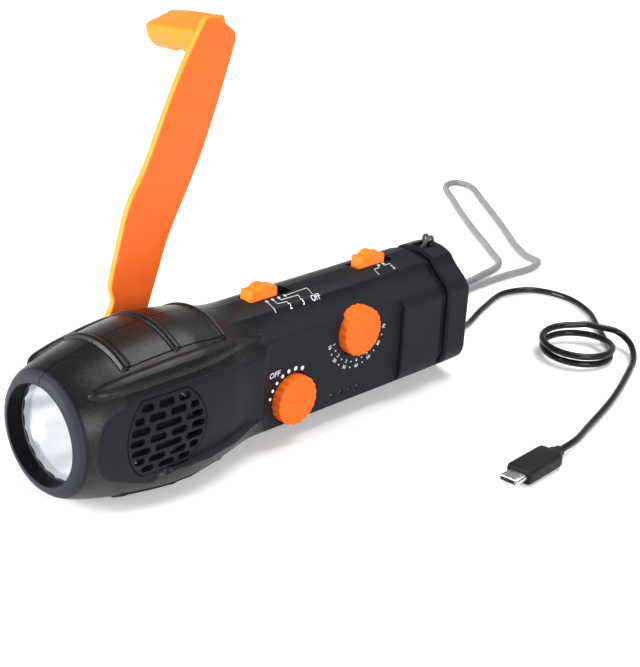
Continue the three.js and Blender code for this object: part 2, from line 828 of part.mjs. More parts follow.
// Far side: crank bearing, idler boss and the cradles of battery and aerial rod
const gearY = gearPlateY + gearPlateThickness + gearStackGap;
const pitchRadius = (teeth) => (teeth * gearModule) / 2;
const idlerX = crankX + pitchRadius(crankTeeth) + pitchRadius(pinionTeeth);
const crankGearY = gearY + idlerGearWidth + gearStackGap;
const crankGearEnd = crankGearY + crankGearWidth;
const bearingBoss = barY(crankX, 0, shaftRadius + boreGap + wall, crankGearEnd + runGap, farY, 16);
const idlerBoss = barY(idlerX, 0, axleRadius + boreGap + wall, crankGearEnd + runGap, farY, 12);
const cradles = cradleShares.map((share) => {
  const x = batteryStart + batteryLength * share;
  const batteryRoom = batteryRadius + fitGap;
  const rodRoom = rodRadius + fitGap;
  const plate = block(
    x - cradleThickness / 2, x + cradleThickness / 2, 0, farY, -farY, rodZ + rodRoom + wall,
  );
  const room = [
    block(0, farX, -farY, batteryY, batteryZ - batteryRoom, batteryZ + batteryRoom),
    barX(batteryY, batteryZ, batteryRoom, 0, farX, 20),
    block(0, farX, -farY, rodY, rodZ - rodRoom, rodZ + rodRoom),
    barX(rodY, rodZ, rodRoom, 0, farX, 14),
  ];
  return cut(meet(plate, outerSkin), ...room);
});
const gearPosts = [
  [gearPlateStart + bossRadius, headRadius / 2],
  [gearPlateStart + bossRadius, -headRadius / 2],
  [gearPlateEnd - 4 * bossRadius, (2 * headRadius) / 3],
].map(([x, z]) => barY(x, z, bossRadius, gearPlateY + gearPlateThickness + fitGap, farY, 10));
const farWhole = cut(
  join(
    wholeHousing,
    pads,
    ridge(1),
    ...cradles,
    meet(join(bearingBoss, idlerBoss, ...gearPosts), outerSkin),
  ),
  barY(crankX, 0, shaftRadius + boreGap, 0, farY, 20),
  barY(idlerX, 0, axleRadius + boreGap, 0, crankGearEnd + gearStackGap + wall, 12),
  modeSlot, bandSlot, ...screwHoles,
);
const farShell = meet(farWhole, farBlock);

const shellColour = "#2f3038";
const nearShellSolid = piece(torch, "near_shell", nearShell, shellColour, 0.6);
piece(torch, "far_shell", farShell, shellColour, 0.6);
piece(torch, "speaker_grille", grille, "#26272e", 0.6);

// Lens with a shallow dome, its seal, and the reflector with the lamp on its board
const lensEnd = pocketX + fitGap + lensThickness;
const lens = turnX(
  [[pocketX - lensDome, 0], [pocketX - lensDome * 0.7, bezelRadius * 0.55],
    [pocketX + fitGap, bezelRadius], [pocketX + fitGap, lensRadius], [lensEnd, lensRadius],
    [lensEnd, 0]],
  32,
);
piece(torch, "lens", lens, "#dfe6ea", 0.05);
const sealX = lensEnd + fitGap;
const sealInner = lensRadius - sealWidth;
const sealEnd = sealX + sealThickness;
const seal = turnX(
  [[sealX, sealInner], [sealX, lensRadius], [sealEnd, lensRadius], [sealEnd, sealInner],
    [sealX, sealInner]],
  20,
);
piece(torch, "lens_seal", seal, "#141416", 0.9);

const flangeX = sealEnd + fitGap;
const flangeEnd = ribX - fitGap;
const vertexX = flangeX + reflectorDepth;
const bowlSteps = 4;
const bowlMouth = bezelRadius - runGap - reflectorWall;
const bowlReach = bowlMouth / Math.sqrt(4 * reflectorFocus * reflectorDepth);
const bowlSpots = Array.from({ length: bowlSteps + 1 }, (_, i) => {
  const radius = bowlMouth + ((reflectorHole - bowlMouth) * i) / bowlSteps;
  return [vertexX - (radius / bowlReach) ** 2 / (4 * reflectorFocus), radius];
});
const bowlInner = bowlSpots.map(([x, radius]) => [x, radius]);
const bowlOuter = bowlSpots.map(([x, radius]) => [x + reflectorWall / 2, radius + reflectorWall]);
const reflector = turnX(
  [[flangeX, bowlMouth], ...bowlInner.slice(1), ...bowlOuter.slice(1).reverse(),
    [flangeEnd, bowlMouth + reflectorWall], [flangeEnd, lensRadius], [flangeX, lensRadius],
    [flangeX, bowlMouth]],
  22,
);
piece(torch, "reflector", reflector, "#d8dade", 0.12, 1);
const bowlEnd = Math.max(...bowlOuter.map(([x]) => x));
const lampBoardX = bowlEnd + fitGap;
const lampBoard = barX(0, 0, lampBoardRadius, lampBoardX, lampBoardX + lampBoardThickness, 16);
piece(torch, "led_board", lampBoard, "#d7d9d2", 0.6);
const lampX = lampBoardX - fitGap;
const lamp = turnX(
  [[lampX - lampHeight, 0], [lampX - lampHeight * 0.8, lampRadius * 0.6],
    [lampX - lampHeight / 4, lampRadius], [lampX, lampRadius], [lampX, 0]],
  20,
);
piece(torch, "led_emitter", lamp, "#f4f1d2", 0.3);

// Loudspeaker: basket, cone and magnet, its rim seated behind the grille
const rimY = -speakerFront;
const rimBack = rimY + speakerRimThickness;
const basketEnd = rimY + speakerDepth;
const basketInner = speakerRimRadius - speakerRimThickness;
const basket = turnY(
  [[rimY, basketInner], [rimY, speakerRimRadius], [rimBack, speakerRimRadius],
    [rimBack, basketInner + coneThickness], [basketEnd, speakerNeckRadius],
    [basketEnd, speakerNeckRadius - speakerRimThickness],
    [rimBack, basketInner - speakerRimThickness / 2], [rimY, basketInner]],
  20, speakerX, speakerZ,
);
piece(torch, "speaker_frame", basket, "#8d8f92", 0.4, 0.8);
const coneFront = rimY + fitGap;
const coneBack = coneFront + coneDepth;
const cone = turnY(
  [[coneFront + coneDepth / 2, 0], [coneBack - coneThickness, coneRadius / 4],
    [coneBack, coneRadius / 3], [coneFront + coneThickness, coneRadius * 0.86],
    [coneFront, coneRadius * 0.93], [coneFront + coneThickness, coneRadius],
    [coneFront + 2 * coneThickness, coneRadius], [coneBack + coneThickness, coneRadius / 3],
    [coneBack + coneThickness, 0]],
  16, speakerX, speakerZ,
);
piece(torch, "speaker_cone", cone, "#1b1b1d", 0.9);
const magnetY = basketEnd + fitGap;
const magnet = join(
  barY(speakerX, speakerZ, magnetRadius, magnetY, magnetY + magnetThickness, 20),
  barY(
    speakerX, speakerZ, speakerNeckRadius - speakerRimThickness - fitGap,
    coneBack + coneThickness + runGap, magnetY + fitGap, 16,
  ),
);
piece(torch, "speaker_magnet", magnet, "#4a4b4e", 0.5, 0.7);

// Main board on its pillars, with the volume pot, the tuning capacitor and the light pipe
const boardY = -boardFront;
const mainBoard = block(boardStart, boardEnd, boardY, boardY + boardThickness, -boardLow, boardHigh);
piece(torch, "main_board", mainBoard, "#2c5a36", 0.6);
const partsFront = wellFloor + wall + fitGap;
const partsBack = boardY - fitGap;
const pot = barY(volumeX, volumeZ, potRadius, partsFront, partsBack, 16);
piece(torch, "volume_pot", pot, "#a9abae", 0.35, 0.9);
const capacitor = prismY(
  roundedOutline(
    tuningX - tuningBoxHalf, tuningX + tuningBoxHalf, tuningZ - tuningBoxHalf,
    tuningZ + tuningBoxHalf - overrun / 4, panelDepth / 2, 2,
  ),
  partsFront, partsBack,
);
piece(torch, "tuning_capacitor", capacitor, "#c9cbc6", 0.5);
const pipeEndX = indicatorX + indicatorPitch * (indicatorCount - 1) + pipeMargin;
const pipeY = panelY + wall + pipeFrontGap;
const pipeBar = block(
  indicatorX - pipeMargin, pipeEndX, pipeY, partsBack,
  indicatorZ - pipeHalfHeight, indicatorZ + pipeHalfHeight,
);
const pipe = join(
  pipeBar,
  ...indicatorSpots.map(([x, z]) =>
    barY(x, z, indicatorHoleRadius - fitGap, panelY + pipeFrontGap, pipeY + fitGap, 10),
  ),
);
piece(torch, "indicator_light_pipe", pipe, "#d5dadc", 0.2);

// Battery cell and the aerial rod with its coil, both in the far shell's cradles
const batteryEnd = batteryStart + batteryLength;
const bevel = terminalLength / 2;
const battery = turnX(
  [[batteryStart, 0], [batteryStart, batteryRadius - bevel], [batteryStart + bevel, batteryRadius],
    [batteryEnd - bevel, batteryRadius], [batteryEnd, batteryRadius - bevel],
    [batteryEnd, terminalRadius], [batteryEnd + terminalLength, terminalRadius],
    [batteryEnd + terminalLength, 0]],
  20, batteryY, batteryZ,
);
piece(torch, "battery", battery, "#3f7f5a", 0.4);
const aerialRod = barX(rodY, rodZ, rodRadius, rodStart, rodStart + rodLength, 16);
piece(torch, "ferrite_rod", aerialRod, "#3a3a3c", 0.7);
const windingInner = rodRadius + fitGap;
const windingEnd = aerialStart + aerialLength;
const winding = turnX(
  [[aerialStart, windingInner], [aerialStart, aerialRadius], [windingEnd, aerialRadius],
    [windingEnd, windingInner], [aerialStart, windingInner]],
  24, rodY, rodZ,
);
piece(torch, "aerial_coil", winding, "#a8622c", 0.5, 0.6);

// Gear train: crank gear on the crank shaft, idler with its pinion, generator rotor
function gearOutline(teeth, x, z, turn) {
  const pitch = pitchRadius(teeth);
  const tip = pitch + gearModule - gearBacklash;
  const root = pitch - 1.25 * gearModule;
  const step = 360 / teeth;
  const slack = gearBacklash / pitch / degree / 2;
  const spots = [[-0.31, root], [-0.13, tip], [0.13, tip], [0.31, root]];
  return Array.from({ length: teeth }, (_, tooth) =>
    spots.map(([share, radius]) => {
      const lean = Math.sign(share) * slack * (radius < pitch ? 0 : 1);
      const angle = (turn + (tooth + share) * step - lean) * degree;
      return [x + radius * Math.cos(angle), z + radius * Math.sin(angle)];
    }),
  ).flat();
}
// Each gear's turn puts its gap where its neighbour's tooth points
const halfTooth = (teeth) => 180 / teeth;
const idlerTurn = 0;
const pinionTurn = 180 + halfTooth(pinionTeeth);
const rotorX = idlerX + (pitchRadius(idlerTeeth) + pitchRadius(rotorTeeth)) * Math.cos(generatorAngle * degree);
const rotorZ = (pitchRadius(idlerTeeth) + pitchRadius(rotorTeeth)) * Math.sin(generatorAngle * degree);
const idlerStep = 360 / idlerTeeth;
const idlerLean = generatorAngle - Math.round(generatorAngle / idlerStep) * idlerStep;
const idlerGearTurn = idlerLean;
const rotorTurn = generatorAngle - 180 + halfTooth(rotorTeeth);
const crankGear = cut(
  prismY(gearOutline(crankTeeth, crankX, 0, 0), crankGearY, crankGearEnd),
  barY(crankX, 0, shaftRadius + boreGap, 0, farY, 20),
);
piece(torch, "crank_gear", crankGear, "#e9e6da", 0.5);
const idlerGearEnd = gearY + idlerGearWidth;
const idlerGear = cut(
  join(
    prismY(gearOutline(idlerTeeth, idlerX, 0, idlerGearTurn), gearY, idlerGearEnd),
    prismY(
      gearOutline(pinionTeeth, idlerX, 0, pinionTurn), idlerGearEnd - gearStackGap, crankGearEnd,
    ),
  ),
  barY(idlerX, 0, axleRadius + boreGap, 0, farY, 16),
);
piece(torch, "idler_gear", idlerGear, "#e9e6da", 0.5);
const idlerAxleEnd = crankGearEnd + gearStackGap + wall - fitGap;
const idlerAxle = barY(idlerX, 0, axleRadius, gearPlateY, idlerAxleEnd, 14);
piece(torch, "idler_axle", idlerAxle, "#c4c6c9", 0.25, 1);
const canY = gearPlateY - runGap - canDepth;
const canFront = gearPlateY - runGap;
const canInner = canRadius - canWall;
const canShape = turnY(
  [[canY, 0], [canY, canRadius], [canFront, canRadius], [canFront, rotorShaftRadius + runGap],
    [canFront - canWall, rotorShaftRadius + runGap], [canFront - canWall, canInner],
    [canY + canWall, canInner], [canY + canWall, 0]],
  20, rotorX, rotorZ,
);
piece(torch, "generator_can", canShape, "#b9bbbe", 0.3, 0.9);
const rotorEnd = idlerGearEnd;
const rotor = join(
  barY(
    rotorX, rotorZ, rotorRadius, canY + canWall + runGap, canFront - canWall - runGap, 16,
  ),
  barY(rotorX, rotorZ, rotorShaftRadius, canFront - 2 * canWall, gearY + gearStackGap, 12),
  prismY(gearOutline(rotorTeeth, rotorX, rotorZ, rotorTurn), gearY, rotorEnd),
);
piece(torch, "generator_rotor", rotor, "#c08a4a", 0.4, 0.8);
const plateSlab = block(
  gearPlateStart, gearPlateEnd, gearPlateY, gearPlateY + gearPlateThickness, -farY, farY,
);
const gearPlate = cut(
  meet(plateSlab, hollow(wall + fitGap)),
  barY(crankX, 0, shaftPilotRadius + boreGap, 0, farY, 16),
  barY(idlerX, 0, axleRadius + fitGap, 0, farY, 12),
  barY(rotorX, rotorZ, rotorShaftRadius + runGap, 0, farY, 14),
);
piece(torch, "gear_plate", gearPlate, "#b5b7ba", 0.35, 0.9);

// Crank: shaft, arm with its hub, screw, handle and pin, turning about Y at the crank's axis
const crank = new THREE.Group();
crank.position.set(crankX, 0, 0);
torch.add(crank);
const hubSide = Math.max(sideHalfWidth, headRadius * Math.cos(ledgeLowerAngle * degree));
const armY = hubSide + armGap;
const armEnd = armY + armThickness;
const shaftEnd = armEnd - armThickness / 3;
const screwDeep = armEnd - hubScrewLength;
const shaft = cut(
  join(
    barY(0, 0, shaftRadius, gearPlateY + gearPlateThickness + fitGap, shaftEnd, 20),
    barY(0, 0, shaftPilotRadius, gearPlateY, crankGearY, 12),
  ),
  barY(0, 0, hubScrewRadius + fitGap, screwDeep - fitGap, farY, 14),
);
piece(crank, "crank_shaft", shaft, "#c4c6c9", 0.25, 1);

const armOutline = armEdgeShares.map(([x, z]) => [x * armReach, z * armReach]);
const armPlan = (y0, y1, margin) =>
  join(
    prismY(armOutline.map(([x, z]) => [x, z]), y0, y1),
    turnY(
      [[y0, 0], [y0, hubRadius - margin], [y1, hubRadius - margin], [y1, 0]], 36, 0, 0,
    ),
  );
const handleX = handleAxisX - crankX;
const handleZ = handleAxisZ;
const arm = cut(
  armPlan(armY, armEnd, 0),
  barY(0, 0, shaftRadius + boreGap, 0, shaftEnd + fitGap, 20),
  barY(0, 0, hubScrewRadius + fitGap, 0, farY, 14),
  barY(handleX, handleZ, pinRadius + boreGap, 0, farY, 16),
);
const armColour = "#ff7030";
piece(crank, "crank_arm", arm, armColour, 0.45);
const hubScrew = join(
  barY(0, 0, hubScrewRadius, screwDeep, armEnd + fitGap + hubScrewHeadHeight / 2, 12),
  barY(
    0, 0, hubScrewHeadRadius, armEnd + fitGap, armEnd + fitGap + hubScrewHeadHeight, 20,
  ),
);
piece(crank, "hub_screw", hubScrew, "#c9cbce", 0.3, 1);

// Handle: a rounded block, hollow towards the arm, its lens side scooped like a hook
const handle = new THREE.Group();
handle.position.set(handleX, 0, handleZ);
handle.rotation.y = -handleTilt * degree;
crank.add(handle);
const handleY = armEnd + fitGap;
const handleEnd = handleY + handleLength;
const handleRing = (share, inset) => {
  const lift = handleDrop * (1 / 2 - share);
  return roundedOutline(
    inset - handleWidth / 2, handleWidth / 2 - inset, lift + inset - handleHeight / 2,
    lift + handleHeight / 2 - inset, handleCorner, 3,
  ).map(([x, z]) => new THREE.Vector3(x, handleY + share * handleLength, z));
};
const handleBody = loft([
  handleRing(0, 0), handleRing(0.6, 0), handleRing(0.95, handleTaper / 2),
  handleRing(1, handleTaper),
]);
const boreRadius = pinRadius + boreGap;
const scoop = barX(
  handleY + handleLength * 0.42, (-handleHeight - handleScoop) / 2, handleScoop,
  -handleWidth, handleWidth, 24,
);
const hollowIn = block(
  handleWall - handleWidth / 2, handleWidth / 2 - handleWall, -overrun, handleY + handleHollow,
  handleWall + (handleDrop - handleHeight) / 2, (handleDrop + handleHeight) / 2 - handleWall,
);
const boreCollar = barY(0, 0, boreRadius + handleWall, handleY, handleEnd - handleWall, 14);
const handleShape = cut(
  join(cut(handleBody, hollowIn, scoop), boreCollar),
  barY(0, 0, boreRadius, -overrun, farY, 14),
  barY(0, 0, pinHeadRadius + boreGap, handleEnd - pinHeadHeight - fitGap, farY, 16),
);
piece(handle, "handle", handleShape, armColour, 0.45);
const pinEnd = handleEnd - fitGap;
const pin = join(
  barY(handleX, handleZ, pinRadius, armY, pinEnd - pinHeadHeight / 2, 14),
  barY(handleX, handleZ, pinHeadRadius, pinEnd - pinHeadHeight + fitGap, pinEnd, 20),
);
piece(crank, "handle_pin", pin, "#c9cbce", 0.3, 1);

// Knobs: scalloped discs with a stem through the well's floor
function knob(name, x, z) {
  const spots = knobScallops * 3;
  const ring = (y, inset, depth) =>
    Array.from({ length: spots }, (_, i) => {
      const dip = (1 - Math.cos((2 * Math.PI * i * knobScallops) / spots)) / 2;
      const radius = knobRadius - inset - depth * dip;
      const angle = (2 * Math.PI * i) / spots;
      return new THREE.Vector3(x + radius * Math.cos(angle), y, z + radius * Math.sin(angle));
    });
  const face = -bodyHalfWidth - knobProud;
  const disc = loft([
    ring(face, knobBevel, knobScallopDepth / 2),
    ring(face + knobBevel, 0, knobScallopDepth),
    ring(knobBack, 0, knobScallopDepth),
  ]);
  const stemEnd = wellFloor + wall;
  const stem = barY(x, z, knobStemRadius, knobBack - fitGap, stemEnd, 20);
  return piece(torch, name, join(disc, stem), "#ff7a2e", 0.5);
}
knob("volume_knob", volumeX, volumeZ);
knob("tuning_knob", tuningX, tuningZ);

// Slide switches: a cap on a plate under the seam, over the switch on the board's top
const plateTop = bodyRise - plateDrop;
const plateBottom = plateTop - plateThickness;
function slideSwitch(prefix, slotStart, slotLength, capStart, capLength, travel) {
  const capEnd = capStart + capLength;
  const capHalf = slotHalfWidth - capGap;
  const height = bodyRise + capRise - plateTop;
  const side = capShares.map(([x, z]) => [capStart + x * capLength, plateTop + z * height]);
  const shape = meet(
    prismY(side, -capHalf, capHalf),
    prismZ(roundedOutline(capStart, capEnd, -capHalf, capHalf, capCorner, 4), 0, farY),
  );
  const plate = block(
    slotStart - travel - plateSideRoom, slotStart + slotLength + plateSideRoom,
    -capHalf, capHalf, plateBottom, plateTop + fitGap,
  );
  const slider = join(shape, meet(plate, block(0, farX, -farY, farY, 0, plateTop)));
  piece(torch, prefix + "_slider", slider, "#ff8438", 0.5);
  const switchTop = plateBottom - runGap;
  const box = block(
    slotStart + switchBodyInset, slotStart + slotLength - switchBodyInset,
    -switchBodyHalfWidth, switchBodyHalfWidth,
    switchTop - switchBodyHeight, switchTop,
  );
  piece(torch, prefix + "_switch", box, "#b9bbbe", 0.35, 0.8);
}
const modeCapStart = modeSlotStart + plateSideRoom;
slideSwitch("mode", modeSlotStart, modeSlotLength, modeCapStart, modeCapLength, modeTravel);
slideSwitch("band", bandSlotStart, bandSlotLength, bandCapStart, bandCapLength, bandTravel);

// Housing screws, driven from the far side
screwSpots.forEach(([x, z], i) => {
  const seat = screwSeat + fitGap;
  const screw = join(
    barY(x, z, screwRadius, -screwReach, seat + screwHeadHeight / 2, 8),
    barY(x, z, screwHeadRadius, seat, seat + screwHeadHeight, 12),
  );
  piece(torch, "housing_screw_" + (i + 1), screw, "#c9cbce", 0.3, 1);
});

// Tail block: a loft with a chamfered front edge, hollow for the spigot, with the strap pocket
const tailHalfWidth = bodyHalfWidth * tailSideShare;
function tailRing(x, inset) {
  const half = sectionOutline(inset, tailHalfWidth);
  const outline = [...half, ...half.slice(1, -1).reverse().map(([y, z]) => [-y, z])];
  return outline.map(([y, z]) => new THREE.Vector3(x, y, z));
}
const tailForm = flatBelly(
  loft([
    tailRing(tailStart, tailBevel), tailRing(tailStart + tailBevel, 0),
    tailRing(totalLength - 1.6 * tailBevel, 0),
    tailRing(totalLength - tailBevel / 2, tailBevel / 2),
    tailRing(totalLength, 1.4 * tailBevel),
  ]),
);
const spigotRoom = bodyPrism(spigotInset + tailWall, tailStart - overrun, spigotEnd + fitGap);
const neckRoom = block(tailStart - overrun, tailStart + seamGap, -farY, farY, -farY, farY);
const flangeSeat = spigotEnd + fitGap + glandFlangeLength + fitGap;
const pocketFloor = bodyRise - pocketDepth;
const pocket = block(
  pocketStart, pocketEnd, -pocketHalfWidth, pocketHalfWidth, pocketFloor, farY,
);
const pocketMiddle = (pocketStart + pocketEnd) / 2;
const barHeight = bodyRise - barDrop;
const strapBar = barY(
  pocketMiddle, barHeight, barRadius, -pocketHalfWidth - overrun / 4,
  pocketHalfWidth + overrun / 4, 14,
);
const tailBlock = join(
  cut(
    tailForm, spigotRoom, neckRoom, pocket,
    barX(0, glandZ, glandFlangeRadius + fitGap, tailStart, flangeSeat, 20),
    barX(0, glandZ, glandRadius + fitGap, tailStart, farX, 20),
  ),
  strapBar,
);
piece(torch, "tail_block", tailBlock, "#2b2c32", 0.6);

// Cable gland: a flange inside the rear wall and a tapered nose outside it
const glandStart = flangeSeat - fitGap - glandFlangeLength;
const glandStep = glandStart + glandFlangeLength;
const glandEnd = totalLength + glandNose;
const gland = turnX(
  [[glandStart, 0], [glandStart, glandFlangeRadius], [glandStep, glandFlangeRadius],
    [glandStep, glandRadius], [totalLength + glandNose / 4, glandRadius],
    [glandEnd, leadDiameter / 2 + fitGap], [glandEnd, 0]],
  20, 0, glandZ,
);
piece(torch, "cable_gland", gland, "#161618", 0.5);

// A round section carried along a list of points, level across its width
function sweep(points, radius, sides) {
  const upward = new THREE.Vector3(0, 0, 1);
  return loft(
    points.map((point, i) => {
      const before = points[Math.max(0, i - 1)];
      const after = points[Math.min(points.length - 1, i + 1)];
      const ahead = after.clone().sub(before).normalize();
      const across = new THREE.Vector3().crossVectors(upward, ahead).normalize();
      const over = new THREE.Vector3().crossVectors(ahead, across);
      return Array.from({ length: sides }, (_, side) => {
        const angle = ((side + 1 / 2) / sides) * 2 * Math.PI;
        return point
          .clone()
          .addScaledVector(across, radius * Math.cos(angle))
          .addScaledVector(over, radius * Math.sin(angle));
      });
    }),
  );
}

// Coil: loops that climb at a steady rate and open a little, with straight ends
const leadRadius = leadDiameter / 2;
const coilCount = Math.round((coilSweep / 360) * coilSteps);
const coilTurns = Array.from({ length: coilCount + 1 }, (_, i) => {
  const turn = (coilSweep * i) / coilCount;
  const angle = (coilStartAngle - turn) * degree;
  const radius = coilRadius + coilSpread * (turn / coilSweep - 1 / 2);
  const height = leadRadius + leadDiameter / 20 + (coilRise * turn) / 360;
  return new THREE.Vector3(
    coilX + radius * Math.cos(angle), coilY + radius * Math.sin(angle), height,
  );
});
const coilAhead = (from, to) => to.clone().sub(from).setLength(leadDiameter);
const coilStart = coilTurns[0].clone().sub(coilAhead(coilTurns[0], coilTurns[1]));
const coilLast = coilTurns[coilCount];
const coilEnd = coilLast.clone().add(coilAhead(coilTurns[coilCount - 1], coilLast));
const coilPoints = [coilStart, ...coilTurns, coilEnd];
let coilGap = Infinity;
coilPoints.forEach((a, i) =>
  coilPoints.slice(i + coilSteps / 2).forEach((b) => {
    coilGap = Math.min(coilGap, a.distanceTo(b) - leadDiameter);
  }),
);
console.log("least gap between the turns of the lead's coil: " + coilGap.toFixed(2) + " mm");
const leadColour = "#131315";
piece(laid, "lead_coil", sweep(coilPoints, leadRadius, coilSides), leadColour, 0.35);

// The lead's free runs, from the gland to the coil and from the coil to the plug
const asPoints = (route) => route.map(([x, y, z]) => new THREE.Vector3(x, y, z));
const meetGap = (end, next) => end.clone().add(end.clone().sub(next).setLength(fitGap));
const outEnd = meetGap(coilStart, coilTurns[0]);
const outAhead = outEnd.clone().sub(coilAhead(coilStart, coilTurns[0]));
const leadOutPoints = [...asPoints(leadOut), outAhead, outEnd];
const onStart = meetGap(coilEnd, coilLast);
const onAhead = onStart.clone().add(coilAhead(coilLast, coilEnd));
const plugAxis = new THREE.Vector3(Math.cos(plugTurn * degree), Math.sin(plugTurn * degree), 0);
const plugMiddle = plugHeight / 2;
const reliefStart = new THREE.Vector3(plugX, plugY, plugMiddle)
  .addScaledVector(plugAxis, -reliefLength - fitGap);
const leadOnPoints = [
  onStart, onAhead, ...asPoints(leadOn),
  reliefStart.clone().addScaledVector(plugAxis, -leadDiameter - fitGap),
  reliefStart.clone().addScaledVector(plugAxis, -fitGap),
];
piece(laid, "lead_run_out", tube(leadOutPoints, leadDiameter, leadSides, 22), leadColour, 0.35);
piece(laid, "lead_run_on", tube(leadOnPoints, leadDiameter, leadSides, 20), leadColour, 0.35);

// Plug: stepped strain relief, moulded body and the contact shell
const plug = new THREE.Group();
plug.position.set(plugX, plugY, plugMiddle);
plug.rotation.z = plugTurn * degree;
laid.add(plug);
const barOf = (x0, x1, width, height, corner) =>
  prismX(roundedOutline(-width / 2, width / 2, -height / 2, height / 2, corner, 3), x0, x1);
piece(
  plug, "plug_relief",
  join(
    barOf(-reliefLength - fitGap, -reliefLength / 2, leadDiameter * 1.5, reliefHeight * 0.9,
      plugTipCorner),
    barOf(-reliefLength / 2 - fitGap, -fitGap, reliefWidth, reliefHeight, plugTipCorner),
  ),
  leadColour, 0.5,
);
piece(plug, "plug_body", barOf(0, plugLength, plugWidth, plugHeight, plugCorner), leadColour, 0.55);
piece(
  plug, "plug_tip",
  barOf(plugLength + fitGap, plugLength + plugTipLength, plugTipWidth, plugTipHeight,
    plugTipCorner),
  "#c6c8cb", 0.25, 1,
);

// Wrist strap: two strands round the bar, the slider, and the braided loop
const strapSlider = new THREE.Group();
strapSlider.position.set(strapSliderX, strapSliderY, 0);
strapSlider.rotation.z = strapSliderTurn * degree;
laid.add(strapSlider);
strapSlider.updateMatrix();
const atSlider = (x, y, z) => new THREE.Vector3(x, y, z).applyMatrix4(strapSlider.matrix);
const barX0 = pocketMiddle - crankX;
const barZ0 = barHeight + bellyDrop;
const wrap = barRadius + strapDiameter / 2 + 2.5 * fitGap;
const strapHeight = strapRoute[0][2];
const strand = (side) => [
  atSlider(-fitGap, (side * strandGap) / 2, strapHeight),
  atSlider(-fitGap - strapDiameter, (side * strandGap) / 2, strapHeight),
  ...asPoints(strapRoute).map((point) => point.add(new THREE.Vector3(0, (side * strandGap) / 2, 0))),
];
const wrapAngles = [35, -20, -75, -130, 175, 120];
const wrapPoints = wrapAngles.map((angle, i) => {
  const share = 1 / 2 - i / (wrapAngles.length - 1);
  return new THREE.Vector3(
    barX0 + wrap * Math.cos(angle * degree),
    share * strandGap,
    barZ0 + wrap * Math.sin(angle * degree),
  );
});
const strapPoints = [...strand(1), ...wrapPoints, ...strand(-1).reverse()];
piece(laid, "strap_cord", tube(strapPoints, strapDiameter, strapSides, 42), "#17171a", 0.7);
const sliderRing = (z, inset) =>
  roundedOutline(
    inset, strapSliderLength - inset, inset - strapSliderWidth / 2, strapSliderWidth / 2 - inset,
    strapSliderBevel, 2,
  ).map(([x, y]) => new THREE.Vector3(x, y, z));
const sliderForm = loft([
  sliderRing(fitGap, strapSliderBevel / 2), sliderRing(strapSliderBevel / 2, 0),
  sliderRing(strapSliderHeight - strapSliderBevel, 0),
  sliderRing(strapSliderHeight, strapSliderBevel),
]);
piece(strapSlider, "strap_slider", sliderForm, "#6d6f75", 0.45);
const loopSide = (loopWidth + loopGap) / 2;
const loopHeight = loopRoute[0][2];
const sliderEnd = strapSliderLength + fitGap;
const loopPoints = [
  atSlider(sliderEnd, -loopSide, loopHeight),
  atSlider(sliderEnd + loopWidth, -loopSide, loopHeight),
  ...asPoints(loopRoute),
  atSlider(sliderEnd + loopWidth, loopSide, loopHeight),
  atSlider(sliderEnd, loopSide, loopHeight),
];
piece(laid, "wrist_loop", tube(loopPoints, loopWidth, loopSides, 30), "#b9bbbf", 0.85);


const root = new THREE.Group();
root.add(torch, laid);
export default root;
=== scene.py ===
"""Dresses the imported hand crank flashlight: fine housing, knobs, crank, cords, prints and light.

Lengths are millimetres in the sizes and metres in every mesh. "Axis" coordinates have their
origin in the middle of the lens opening's front plane and +X towards the tail; the part's
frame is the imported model's.
"""

import json
import logging
import math
from dataclasses import dataclass, field
from enum import Enum
from typing import Callable, Iterable, Sequence

import bmesh
import bpy
import numpy as np
from mathutils import Matrix, Vector


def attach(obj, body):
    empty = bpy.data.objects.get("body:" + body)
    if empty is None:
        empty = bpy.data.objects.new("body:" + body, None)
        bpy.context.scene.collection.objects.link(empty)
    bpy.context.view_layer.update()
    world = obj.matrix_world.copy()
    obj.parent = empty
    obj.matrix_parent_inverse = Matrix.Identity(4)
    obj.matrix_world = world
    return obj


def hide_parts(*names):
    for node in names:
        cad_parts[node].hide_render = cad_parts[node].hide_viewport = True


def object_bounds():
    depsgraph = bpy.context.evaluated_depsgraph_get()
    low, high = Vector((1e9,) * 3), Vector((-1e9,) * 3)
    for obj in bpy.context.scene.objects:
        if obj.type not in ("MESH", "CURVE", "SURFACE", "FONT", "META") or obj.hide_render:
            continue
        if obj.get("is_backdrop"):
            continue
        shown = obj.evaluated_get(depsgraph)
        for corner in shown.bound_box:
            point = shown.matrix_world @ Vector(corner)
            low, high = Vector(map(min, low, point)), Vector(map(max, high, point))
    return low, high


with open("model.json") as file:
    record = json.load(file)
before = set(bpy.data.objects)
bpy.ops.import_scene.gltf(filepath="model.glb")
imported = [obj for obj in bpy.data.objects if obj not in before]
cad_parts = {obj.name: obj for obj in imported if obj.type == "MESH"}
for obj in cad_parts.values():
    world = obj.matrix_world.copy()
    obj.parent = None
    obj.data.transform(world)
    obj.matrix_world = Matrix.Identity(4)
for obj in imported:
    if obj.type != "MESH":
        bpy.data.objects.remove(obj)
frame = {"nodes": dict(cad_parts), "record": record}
CAD_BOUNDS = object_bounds()

MM = 0.001
AXIS_TO_PART = np.array([-57.0, 0.0, 27.0])
FAR = 70.0
LOG = logging.getLogger("flashlight")

Pair = tuple[float, float]
Spot = tuple[float, float, float]
Outline = Sequence[Pair]
Colour = Spot
Levels = Sequence[tuple[float, ...]]
Thing = bpy.types.Object
Material = bpy.types.Material
Node = bpy.types.Node
Socket = bpy.types.NodeSocket
Tree = bpy.types.NodeTree


class Way(Enum):
    """The axis that an outline is pushed along or turned about."""

    X = "x"
    Y = "y"
    Z = "z"


class Join(Enum):
    """What helper solids do to a closed mesh."""

    CUT = "DIFFERENCE"
    KEEP = "INTERSECT"
    ADD = "UNION"


